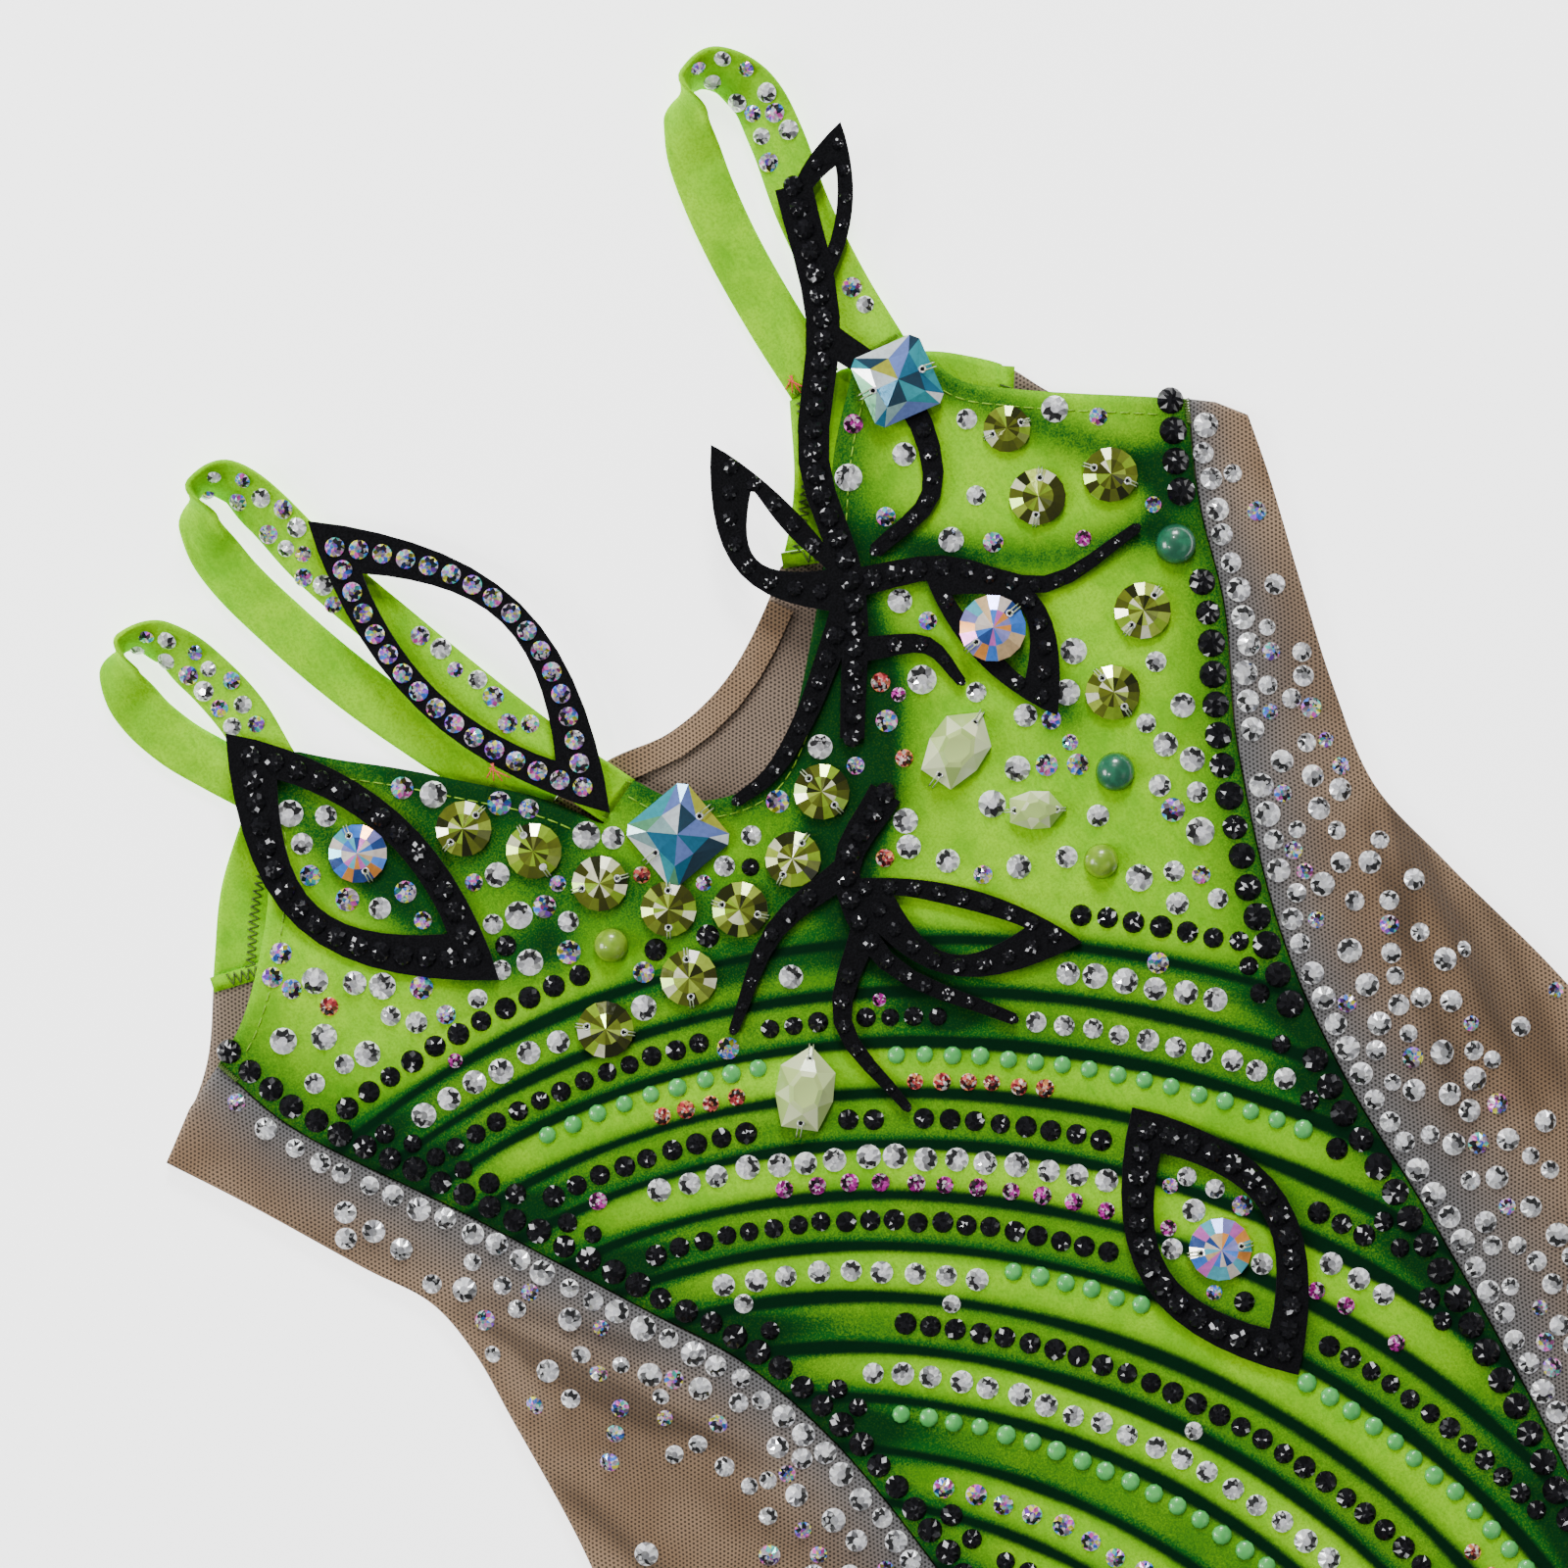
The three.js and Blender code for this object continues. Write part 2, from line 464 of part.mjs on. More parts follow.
// A pointed leaf from one end to the other; its sides are half a sine wave
function leaf({ from, to, half, bend }, shrink) {
  const axis = new THREE.Vector2(to[0] - from[0], to[1] - from[1]);
  const length = axis.length();
  const along = axis.clone().normalize();
  const aside = new THREE.Vector2(-along.y, along.x);
  const inset = (shrink * length) / (2 * half);
  const side = (t, sign) => {
    const wave = Math.sin(Math.PI * t);
    const reach = sign * (half - shrink) * wave ** 0.9 + bend * wave;
    const run = inset + t * (length - 2 * inset);
    return [from[0] + along.x * run + aside.x * reach, from[1] + along.y * run + aside.y * reach];
  };
  const outline = [];
  for (let k = 0; k < LEAF_STEPS; k++) outline.push(side(k / LEAF_STEPS, -1));
  for (let k = LEAF_STEPS; k > 0; k--) outline.push(side(k / LEAF_STEPS, 1));
  return outline;
}

const openLeaf = (row) => ({ outline: leaf(row, 0), holes: [leaf(row, row.band)] });

// A tendril narrows from its root to its tip
function tendril({ points, root, tip }) {
  const middle = smooth(points, 4);
  const half = (k) => THREE.MathUtils.lerp(root, tip, k / (middle.length - 1)) / 2;
  const left = middle.map((row, k) => offset(middle, -half(k))[k]);
  const right = middle.map((row, k) => offset(middle, half(k))[k]);
  return { outline: [...right, ...reversed(left)] };
}

function addAppliques() {
  const lift = VELVET_WALL + SEAM_GAP;
  for (const row of FRAMES) addClothPiece(row.name, [openLeaf(row)], lift, APPLIQUE_WALL, "applique");
  for (const { name, tendrils, leaves } of SCROLLS)
    addClothPiece(name, [...tendrils.map(tendril), ...leaves.map(openLeaf)], lift, APPLIQUE_WALL, "applique");
}

// A stone's outline on the cloth, as corners around its middle
function stoneOutline(shape, size, turn) {
  const corners = { round: 10, square: 4, cut: 7, dome: 8 }[shape];
  const outline = [];
  for (let k = 0; k < corners; k++) {
    const angle = (2 * Math.PI * k) / corners + THREE.MathUtils.degToRad(turn + (shape === "square" ? 45 : 0));
    const reach = shape === "cut" ? size * (1 + 0.22 * Math.cos(2 * angle)) : size * (shape === "square" ? 1.3 : 1);
    outline.push([reach * Math.cos(angle), reach * Math.sin(angle)]);
  }
  return outline;
}

// Rings of a stone: how wide and how high, as shares of its size and height
const STONE_RINGS = {
  round: [{ wide: 0.92, high: 0 }, { wide: 1, high: 0.35 }, { wide: 0.55, high: 1 }],
  square: [{ wide: 0.94, high: 0 }, { wide: 1, high: 0.4 }, { wide: 0.6, high: 1 }],
  cut: [{ wide: 0.9, high: 0 }, { wide: 1, high: 0.4 }, { wide: 0.5, high: 1 }],
  dome: [{ wide: 1, high: 0 }, { wide: 0.86, high: 0.6 }, { wide: 0.42, high: 1 }],
};

function addStone({ name, shape, finish, at, size, turn, over }) {
  const outline = stoneOutline(shape, size, turn);
  const base = Math.max(...outline.map(([x, y]) => clothHeight(at[0] + x, at[1] + y)), clothHeight(...at));
  const sections = STONE_RINGS[shape].map(({ wide, high }) => outline.map(([x, y]) =>
    new THREE.Vector3(at[0] + wide * x, at[1] + wide * y, base + VELVET_WALL + over + high * STONE_HEIGHT[shape])));
  addPiece(name, sweptSolid(sections), finish);
}

// A row of round stones follows the neck edge at even steps
function addNeckRow({ guide, count, radius }) {
  const curve = new THREE.CatmullRomCurve3(guide.map(([across, up]) => new THREE.Vector3(across, up, 0)));
  for (let k = 0; k < count; k++) {
    const { x, y } = curve.getPointAt(k / (count - 1));
    const row = { shape: "round", finish: "peridot", at: [x, y], size: radius, turn: 0, over: ON_VELVET };
    addStone({ name: `stone_neck_${k + 1}`, ...row });
  }
}

addBackPanels();
addFrontPanels();
STRAPS.forEach(addStrap);
addAppliques();
STONES.forEach(addStone);
addNeckRow(NECK_ROW);

// The origin is on the floor, under the middle of the whole garment
const middle = new THREE.Box3().setFromObject(leotard).getCenter(new THREE.Vector3());
leotard.position.set(-middle.x, -middle.y, 0);

export default leotard;
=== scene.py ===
# %% [markdown]
# # A gymnastics leotard, laid flat
#
# The garment lies on its back with the front side up. The back panel touches the floor, and the
# front lies on it with a little air between. Each piece of cloth is a surface worked out with
# numpy on the same soft height field that the solids use, so nothing has to be fitted later.

# %% Load the fixed frame
import math

import bpy
import numpy as np
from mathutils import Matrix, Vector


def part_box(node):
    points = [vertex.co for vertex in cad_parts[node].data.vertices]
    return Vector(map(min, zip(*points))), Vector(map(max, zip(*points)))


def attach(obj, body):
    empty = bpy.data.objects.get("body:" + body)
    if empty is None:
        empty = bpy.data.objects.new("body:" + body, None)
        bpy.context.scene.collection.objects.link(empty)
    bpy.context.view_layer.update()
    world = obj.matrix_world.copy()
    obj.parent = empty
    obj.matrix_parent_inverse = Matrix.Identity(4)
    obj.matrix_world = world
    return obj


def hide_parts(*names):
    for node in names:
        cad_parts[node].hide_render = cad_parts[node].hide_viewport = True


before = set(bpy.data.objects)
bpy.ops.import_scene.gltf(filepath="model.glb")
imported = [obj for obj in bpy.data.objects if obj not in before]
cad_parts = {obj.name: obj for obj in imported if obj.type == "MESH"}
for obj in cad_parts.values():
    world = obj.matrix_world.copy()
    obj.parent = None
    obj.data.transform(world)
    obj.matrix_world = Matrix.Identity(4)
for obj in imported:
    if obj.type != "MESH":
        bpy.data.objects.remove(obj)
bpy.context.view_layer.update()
print("nodes:", len(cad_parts))

# %% [markdown]
# ## Lengths
#
# A dressmaker measures a garment across and up from the middle of the neck, in millimetres. The
# tables below do the same. The frame's own origin is under the middle of the whole garment, so
# the distance between the two is read from the frame's boxes.

# %% Driving sizes and the garment's edges, in millimetres
MM = 0.001
SEAM_GAP = 0.3
BACK_WALL = 1.1
CORNER_WALL = 1.5
VELVET_WALL = 1.5
MESH_WALL = 1.0
STRAP_WALL = 1.8
APPLIQUE_WALL = 1.1
LOFT = 2.4
LOFT_REACH = 26.0
HIP_ACROSS, HIP_UP = 131.0, -232.0
CROTCH_HALF, CROTCH_FRONT, CROTCH_BACK = 30.0, -391.0, -395.0
ARMPIT_LEFT = -141.0
STONE_GAP = 0.3  # between a large stone and what it is sewn to

SIDE_LEFT = [(ARMPIT_LEFT, -18), (-131.5, -33.6), (-117.6, -58.2), (-110, -71), (-107.8, -84),
             (-108.4, -99), (-110.5, -134), (-119, -175), (-128, -205), (-HIP_ACROSS, HIP_UP)]
SIDE_RIGHT = [(127.8, -4.3), (125, -17), (119, -39), (113.4, -61), (110, -82), (114, -103),
              (121.4, -134), (128, -175), (131, -205), (HIP_ACROSS, HIP_UP)]
SEAM_LEFT = [(-121, -6.6), (-115, -25), (-94, -59), (-73, -95), (-62, -114), (-54.5, -138),
             (-50.5, -168), (-49, -215), (-50, -262), (-53, -322)]
SEAM_RIGHT = [(118.8, 5), (109.5, -14.6), (102.8, -35), (90, -60.5), (77.3, -98), (73, -130),
              (72.8, -163.5), (70, -215), (63, -262), (56, -318)]
LEG_FRONT = [(HIP_ACROSS, HIP_UP), (98, -264), (68, -298), (45, -340), (33, -372),
             (CROTCH_HALF, CROTCH_FRONT)]
LEG_BACK = [(HIP_ACROSS, HIP_UP), (119, -276), (90, -326), (56, -364), (36, -386),
            (CROTCH_HALF, CROTCH_BACK)]
ARMHOLE_LEFT = [(-85.4, 40), (-87, 30), (-93, 19), (-103.5, 6.4), (-112.8, -2), (-121, -6.6)]
ARMHOLE_RIGHT = [(118.8, 5), (109, 11.7), (100.6, 17.4), (89, 25.8), (81, 33), (76.8, 46.6)]
NECK_FRONT_RIGHT = [(64.4, 46.6), (52, 34), (40, 18), (27, 3), (14, -10), (4, -15.5), (-6, -14),
                    (-14, -8.6), (-18.3, -1.7)]
NECK_FRONT_LEFT = [(-28.6, -6.2), (-33.4, 1.2), (-38.6, 7.4), (-46, 14.4), (-58.5, 26),
                   (-68, 34), (-74.4, 40)]
NECK_BACK_LEFT = [(-80.4, 40), (-72, 33), (-63, 22), (-54, 9), (-43.7, 0.3)]
NECK_BACK_RIGHT = [(-33.4, 3.8), (-20, 4.5), (-7.5, 2.7), (6, 5), (17.5, 10.5), (31, 20.5),
                   (41, 32), (49.6, 47.6)]
BACK_ARMHOLE_LEFT = [(ARMPIT_LEFT, -18), (-124, -5.6), (-111.5, 11.4), (-102, 24), (-90, 34.6)]
BACK_ARMHOLE_RIGHT = [(62, 47.5), (78, 42), (86, 35.8), (91.2, 30.2), (97, 19.5), (108, 9.5),
                      (127.8, -4.3)]
CORNER_LEFT = [(-114, 8), (-100, 5), (-80, 8), (-63, 22)]
CORNER_RIGHT = [(31, 20.5), (48, 14), (68, 11), (82, 18), (91.2, 30.2)]
SEAT_LINE = [(-HIP_ACROSS, HIP_UP), (-70, -205), (0, -196), (70, -205), (HIP_ACROSS, HIP_UP)]

# The neck's middle in the frame, in millimetres
NECK = np.array([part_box("back_mesh")[0].x / MM - ARMPIT_LEFT,
                 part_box("back_brief")[0].y / MM - CROTCH_BACK])
print("neck middle in the frame, mm:", NECK.round(3))

# %% [markdown]
# ## The camera first
#
# The photograph looks straight down. The garment lies turned in it, its shoulders towards the
# upper left, so the camera is rolled by the same angle instead of the garment. A long lens a
# few hand spans above the cloth keeps the round stones round up to the corners of the frame.

# %% Camera and stage
PIXEL, PICTURE_WIDTH = 0.2, 1600  # millimetres of cloth for a pixel, and pixels
PICTURE_MIDDLE = np.array([7.3, -18.6])  # across and up, millimetres
GARMENT_TURN = math.radians(31.75)
LENS, SENSOR = 100.0, 36.0
CLOTH_TOP = 0.005  # metres, where the framed width is measured


def add_camera():
    """The distance is the framed width times the lens over the sensor."""
    data = bpy.data.cameras.new("camera")
    data.lens, data.sensor_width = LENS, SENSOR
    camera = bpy.data.objects.new("camera", data)
    bpy.context.scene.collection.objects.link(camera)
    distance = PICTURE_WIDTH * PIXEL * MM * LENS / SENSOR
    aim = (PICTURE_MIDDLE + NECK) * MM
    camera.location = (aim[0], aim[1], distance + CLOTH_TOP)
    camera.rotation_euler = (0, 0, -GARMENT_TURN)
    data.clip_start = 0.05
    bpy.context.scene.camera = camera
    return camera


camera = add_camera()
print("camera height, m:", round(camera.location.z, 3))

# %% [markdown]
# ## Arithmetic for shaders
#
# A pattern on cloth is a formula, and Blender writes formulas as Math nodes. The small class
# below wraps a socket, so that a formula can be typed as Python and the nodes appear by
# themselves. Any other node comes from `node`, with its settings first and its sockets after.

# %% A socket that can be added and multiplied
def operator(kind, turned=False):
    """A method that adds a Math node; turned puts the other value first."""
    def method(self, other):
        """The node's two values, in order."""
        values = (other, self) if turned else (self, other)
        return self.math(kind, *values)
    return method


class Sock:
    """Wraps an output socket of one material's tree; operators add Math nodes."""

    def __init__(self, tree, out):
        self.tree, self.out = tree, out

    def node(self, kind, settings=(), output=0, **sockets):
        """Adds a node: settings are attribute pairs, sockets are input names or numbers as i0, i1."""
        made = self.tree.nodes.new(kind)
        for key, value in dict(settings).items():
            setattr(made, key, value)
        for key, value in sockets.items():
            name = int(key[1:]) if key[0] == "i" and key[1:].isdigit() else key.replace("_", " ")
            plug(self.tree, made.inputs[name], value)
        return Sock(self.tree, made.outputs[output])

    def math(self, operation, *values, clamp=False):
        """Adds one Math node; the values fill its inputs in order."""
        inputs = {f"i{i}": v for i, v in enumerate(values)}
        return self.node("ShaderNodeMath", {"operation": operation, "use_clamp": clamp}, **inputs)

    __add__ = operator("ADD")
    __sub__ = operator("SUBTRACT")
    __mul__ = operator("MULTIPLY")
    __truediv__ = operator("DIVIDE")
    __radd__ = operator("ADD", True)
    __rsub__ = operator("SUBTRACT", True)
    __rmul__ = operator("MULTIPLY", True)

    def ramp(self, low, high):
        """0 below low, 1 above high, smooth between; low above high turns it round."""
        return self.node("ShaderNodeMapRange", {"interpolation_type": "SMOOTHSTEP"},
                         i0=self, i1=low, i2=high)

    def mix(self, first, second):
        """Colour first where this is 0 and second where it is 1."""
        return self.node("ShaderNodeMix", {"data_type": "RGBA"}, output=2, i0=self, i6=first, i7=second)


# %% Materials and what is plugged into them
def plug(tree, socket, value):
    """Links a wrapped socket, or sets a plain value."""
    if isinstance(value, Sock):
        tree.links.new(value.out, socket)
    elif isinstance(value, tuple) and len(value) == 3 and socket.type == "RGBA":
        socket.default_value = (*value, 1.0)
    else:
        socket.default_value = value


def new_material(name, **constants):
    """A Principled material with constants on its own sockets, its shader and Object coordinates."""
    material = bpy.data.materials.new(name)
    material.use_nodes = True
    tree = material.node_tree
    shader = tree.nodes["Principled BSDF"]
    for key, value in constants.items():
        plug(tree, shader.inputs[key.replace("_", " ")], value)
    start = Sock(tree, tree.nodes.new("ShaderNodeTexCoord").outputs["Object"])
    return material, shader, start


def finish_shader(material, shader, color, rough=None, bump=None, strength=0.3, distance=0.0003):
    """Links what varies over the surface: colour, roughness and a bump."""
    tree = material.node_tree
    plug(tree, shader.inputs["Base Color"], color)
    if rough is not None:
        plug(tree, shader.inputs["Roughness"], rough)
    if bump is not None:
        made = Sock(tree, None).node("ShaderNodeBump", Strength=strength, Distance=distance, Height=bump)
        plug(tree, shader.inputs["Normal"], made)
    return material


# %% Patterns
def noise(start, scale, detail=2.0, rough=0.5, vector=None):
    """Soft noise from 0 to 1; scale counts blobs for each metre."""
    return start.node("ShaderNodeTexNoise", Vector=vector or start, Scale=scale, Detail=detail,
                      Roughness=rough)


def attribute(start, name, output=2):
    """A value that the piece's own points hold."""
    return start.node("ShaderNodeAttribute", {"attribute_name": name}, output=output)


print("shader helpers ready")

# %% [markdown]
# ## Curves and the soft surface
#
# An edge is a smooth curve through a few measured places. The front cloth is not flat: it lifts
# off the back between the side seams and carries soft folds. Its height is a formula, so any
# stone or trim can ask for the height under it.

# %% Curves
def smooth(edge, between=8):
    """A curve through every row: each span is a cubic whose slopes come from four neighbours, with
    knots spaced by the square root of the distance."""
    p = np.array(edge, float)
    p = np.vstack([2 * p[0] - p[1], p, 2 * p[-1] - p[-2]])
    knot = np.sqrt(np.linalg.norm(np.diff(p, axis=0), axis=1))
    d0, d1, d2 = (knot[i:len(knot) - 2 + i, None] for i in range(3))
    p0, p1, p2, p3 = (p[i:len(p) - 3 + i] for i in range(4))
    m1 = (p1 - p0) / d0 - (p2 - p0) / (d0 + d1) + (p2 - p1) / d1
    m2 = (p2 - p1) / d1 - (p3 - p1) / (d1 + d2) + (p3 - p2) / d2
    m1, m2 = (m[:, None] * d1[:, None] for m in (m1, m2))
    p1, p2 = p1[:, None], p2[:, None]
    t = (np.arange(between) / between)[None, :, None]
    run = p1 + m1 * t + (3 * (p2 - p1) - 2 * m1 - m2) * t ** 2 + (2 * (p1 - p2) + m1 + m2) * t ** 3
    return np.vstack([run.reshape(-1, p.shape[1]), p[-2]])


def spaced(line, count):
    """The same line with its points at equal steps of length."""
    line = np.asarray(line, float)
    run = np.r_[0, np.cumsum(np.linalg.norm(np.diff(line, axis=0), axis=1))]
    at = np.linspace(0, run[-1], count)
    return np.stack([np.interp(at, run, line[:, k]) for k in range(line.shape[1])], 1)


def length_of(line):
    """The sum of the lengths of a line's steps."""
    return np.linalg.norm(np.diff(np.asarray(line, float), axis=0), axis=1).sum()


def offset(line, distance):
    """Moves a line to the right of its own direction, which is its tangent turned a quarter."""
    tangent = np.gradient(line, axis=0)
    tangent /= np.linalg.norm(tangent, axis=1, keepdims=True)
    return line + distance * np.stack([tangent[:, 1], -tangent[:, 0]], 1)


def mirrored(line):
    """The same line on the other side of the middle."""
    return line * [-1, 1]


def ramp(t):
    """0 at 0 and 1 at 1, with level ends."""
    t = np.clip(t, 0, 1)
    return t * t * (3 - 2 * t)


# %% Folds and the height of the front
FOLDS = [  # from across, from up, to across, to up, height, width
    (-107, -79, -68, -151, 3.6, 6.5), (-104, -96, -84, -150, 1.6, 8), (109, -92, 100, -134, 3.4, 6),
    (96, -70, 84, -150, 2.2, 9), (-2, -32, 22, -92, 1.4, 13), (-84, 4, -52, -58, 1.2, 12),
    (-118, -190, -62, -238, 2.4, 10), (119, -182, 66, -246, 2.2, 10), (-20, -180, 30, -262, 1.6, 15),
    (-16, -318, 10, -362, 1.4, 8),
]
CREASES = [  # finer creases that only the visible cloth has
    (-104, -71, -76, -101, 0.9, 2.6), (-100, -88, -82, -118, 1.1, 2.4), (106, -84, 97, -112, 1.2, 2.4),
    (103, -100, 88, -148, 1.1, 2.8), (112, -110, 108, -150, 0.9, 2.4), (84, 20, 106, 2, 0.4, 4),
    (-106, -74, -72, -128, 1.7, 2.4), (118, -72, 104, -104, 1.4, 2.4), (112, -86, 103, -152, 1.6, 2.6),
    (119, -104, 109, -164, 1.3, 2.8), (-108, -112, -90, -172, 1.4, 2.8), (-118, -160, -92, -196, 1.2, 3),
    (-96, 4, -76, -20, 0.5, 3.5), (-60, -88, -40, -150, 0.4, 4), (50, -96, 62, -160, 0.5, 5),
    (-128, -40, -108, -60, 0.5, 3), (120, -30, 106, -56, 0.5, 3), (-40, -228, -20, -300, 0.7, 5),
    (30, -240, 22, -320, 0.6, 5), (-112, -212, -80, -250, 0.6, 3), (110, -208, 78, -252, 0.6, 3),
]


print("folds and creases:", len(FOLDS), len(CREASES))


# %% Height of the front
def across_at(edge, up):
    """Where an edge that runs down lies across, at a height."""
    rows = np.array(edge, float)[::-1]
    return np.interp(up, rows[:, 1], rows[:, 0])


def ridge(table, x, y):
    """Each fold is a bell across its line, exp(-(aside/width)^2), and fades out at both ends."""
    total = np.zeros_like(x)
    for x0, y0, x1, y1, height, width in table:
        length = math.hypot(x1 - x0, y1 - y0)
        along = ((x - x0) * (x1 - x0) + (y - y0) * (y1 - y0)) / length ** 2
        aside = ((x - x0) * (y1 - y0) - (y - y0) * (x1 - x0)) / length
        fade = ramp((along + 0.12) / 0.3) * ramp((1.25 - along) / 0.5)
        total += height * fade * np.exp(-((aside / width) ** 2))
    return total


def soft_height(x, y, fine=True):
    """Inner face of the front: seam height, plus loft between the side seams, plus folds."""
    x, y = np.broadcast_arrays(np.asarray(x, float), np.asarray(y, float))
    row = np.maximum(y, HIP_UP)
    inside = np.minimum(x - across_at(SIDE_LEFT, row), across_at(SIDE_RIGHT, row) - x)
    full = ramp(inside / LOFT_REACH)
    loft = LOFT * full * (1 - 0.45 * ramp((HIP_UP - y) / 120))
    wave = 0.35 * np.sin(x / 21 + y / 34) * full
    edge = ramp((inside + 6) / 16)
    height = CORNER_WALL + SEAM_GAP + loft + wave + ridge(FOLDS, x, y) * edge
    if fine:
        ripple = 0.12 * np.sin(x / 5.1 + 2 * np.sin(y / 17)) * np.sin(y / 7.3 + x / 29)
        height = height + (ridge(CREASES, x, y) + ripple) * full
    return height


def cloth_normal(x, y):
    """Upward normal of the front, from the slopes across and up."""
    slope_x = soft_height(x + 0.5, y) - soft_height(x - 0.5, y)
    slope_y = soft_height(x, y + 0.5) - soft_height(x, y - 0.5)
    normal = np.stack([-slope_x, -slope_y, np.ones_like(slope_x)], -1)
    return normal / np.linalg.norm(normal, axis=-1, keepdims=True)


print("height at the chest, mm:", soft_height(0.0, -60.0).round(2))

# %% [markdown]
# ## From arrays to meshes
#
# A piece of cloth is cut by four edges: top, bottom, left and right. The patch between them is
# the sum of the two ways of ruling it less the corners. Its outer and inner faces and its rim
# close into one thin wall.


def to_frame(points):
    """Millimetres from the neck become metres in the frame."""
    points = np.array(points, float)
    points[..., :2] += NECK
    return points * MM


def lay(mesh, material, stands_for=(), smooth_faces=True):
    """Puts a finished mesh into the scene as a piece of the garment, with its finish."""
    mesh.polygons.foreach_set("use_smooth", np.full(len(mesh.polygons), smooth_faces))
    mesh.materials.append(material)
    mesh.validate()
    piece = bpy.data.objects.new(mesh.name, mesh)
    bpy.context.scene.collection.objects.link(piece)
    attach(piece, "root")
    if stands_for:
        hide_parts(*stands_for)
    return piece


# %% Grids and patches
def grid_faces(rows, columns, closed=False):
    """Quads between neighbouring points of a grid; closed joins the last column to the first."""
    index = np.arange(rows * columns).reshape(rows, columns)
    if closed:
        index = np.c_[index, index[:, 0]]
    a, b = index[:-1, :-1], index[:-1, 1:]
    c, d = index[1:, 1:], index[1:, :-1]
    return np.stack([a, b, c, d], -1).reshape(-1, 4)


def patch(top, bottom, left, right, columns, rows):
    """Ruled across plus ruled down less the four corners, on a grid of rows by columns."""
    top, bottom = spaced(top, columns), spaced(bottom, columns)
    left, right = spaced(left, rows), spaced(right, rows)
    s = np.linspace(0, 1, columns)[None, :, None]
    t = np.linspace(0, 1, rows)[:, None, None]
    down = (1 - t) * top[None] + t * bottom[None]
    over = (1 - s) * left[:, None] + s * right[:, None]
    corners = ((1 - s) * (1 - t) * top[0] + s * (1 - t) * top[-1]
               + (1 - s) * t * bottom[0] + s * t * bottom[-1])
    return down + over - corners


# %% A wall of cloth
def edge_distance(plan):
    """How far each grid point is from the nearest edge of its own grid, in millimetres."""
    rows, columns = plan.shape[:2]
    step_x = np.linalg.norm(np.diff(plan, axis=1), axis=2)
    step_y = np.linalg.norm(np.diff(plan, axis=0), axis=2)
    from_left = np.c_[np.zeros(rows), np.cumsum(step_x, 1)]
    from_top = np.r_[np.zeros((1, columns)), np.cumsum(step_y, 0)]
    ways = [from_left, from_left[:, -1:] - from_left, from_top, from_top[-1:] - from_top]
    return np.minimum.reduce(ways)


ROLL_DEPTH, ROLL_WIDTH = 0.3, 0.7  # a share of the wall, and millimetres from the edge


def cloth_wall(name, plan, inner, thickness, material, slot, stands_for=(), **values):
    """A closed wall: the inner face, the outer face a thickness above it, and a rolled rim. Each
    further value is a number a grid point, which the material reads by its name."""
    rows, columns = plan.shape[:2]
    roll = ROLL_DEPTH * thickness * np.exp(-(edge_distance(plan) / ROLL_WIDTH) ** 2)
    outer = np.dstack([plan, inner + thickness - roll])
    under = np.dstack([plan, inner + roll * 0.3])
    index = np.arange(rows * columns).reshape(rows, columns)
    rim = np.r_[index[0], index[1:, -1], index[-1, -2::-1], index[-2:0:-1, 0]]
    after = np.roll(rim, -1)
    size = rows * columns
    faces = grid_faces(rows, columns)
    walls = np.stack([rim, after, after + size, rim + size], -1)
    faces = np.vstack([faces[:, ::-1], faces + size, walls])
    points = np.vstack([outer.reshape(-1, 3), under.reshape(-1, 3)])
    mesh = bpy.data.meshes.new(name)
    mesh.from_pydata(to_frame(points), [], [tuple(f) for f in faces.tolist()])
    for key, value in values.items():
        layer = mesh.attributes.new(key, "FLOAT", "POINT")
        layer.data.foreach_set("value", np.tile(value.ravel(), 2))
    return lay(mesh, material, stands_for)


print("mesh helpers ready")

# %% [markdown]
# ## The sprayed waves
#
# The velvet is sprayed with dark green waves before the stones go on. Here they are plain waves
# of even spacing: rings round a point near the left hip, pushed in and out by a sine. The same
# formula runs both ways, so the colour follows it and the rows of stones can follow it too.

# %% Waves as a formula
WAVE_MIDDLE = np.array([-105.0, -225.0])
WAVE_START, WAVE_LAST = 60.0, 14.6


def wave_pitch(angle):
    """Spacing of the waves: 9 mm straight above the middle, wider towards the right."""
    return 9.0 + 3.6 * (1 - angle / (math.pi / 2))


def wave_push(angle):
    """How far the sine pushes a ring in, in millimetres."""
    return 6.0 * np.sin(2.4 * angle + 0.4)


def wave_count(x, y):
    """Which wave a place lies on: (radius - start + push) / pitch."""
    dx, dy = x - WAVE_MIDDLE[0], y - WAVE_MIDDLE[1]
    angle = np.arctan2(dy, dx)
    return (np.hypot(dx, dy) - WAVE_START + wave_push(angle)) / wave_pitch(angle)


def wave_line(count, angles):
    """Places along one wave, for an array of angles: the same formula solved for the radius."""
    radius = WAVE_START + count * wave_pitch(angles) - wave_push(angles)
    return WAVE_MIDDLE + radius[:, None] * np.stack([np.cos(angles), np.sin(angles)], 1)


STEP_OF_LINE = 3.0


def near_line(x, y, line):
    """Distance from each place to the nearest point of a line, in millimetres."""
    flat = np.stack([np.ravel(x), np.ravel(y)], 1)
    best = np.full(len(flat), np.inf)
    for place in spaced(line, max(2, int(length_of(line) / STEP_OF_LINE))):
        best = np.minimum(best, np.hypot(*(flat - place).T))
    return best.reshape(np.shape(x))


# %% [markdown]
# ## Velvet
#
# Stretch velvet has a short pile. Seen from above it is a bright flat lime with cloudy patches
# where the pile leans another way, and it turns paler at a low angle, which is what sheen does.
# The dye of the waves bleeds a little into the pile, so its edge is broken up with fine noise.

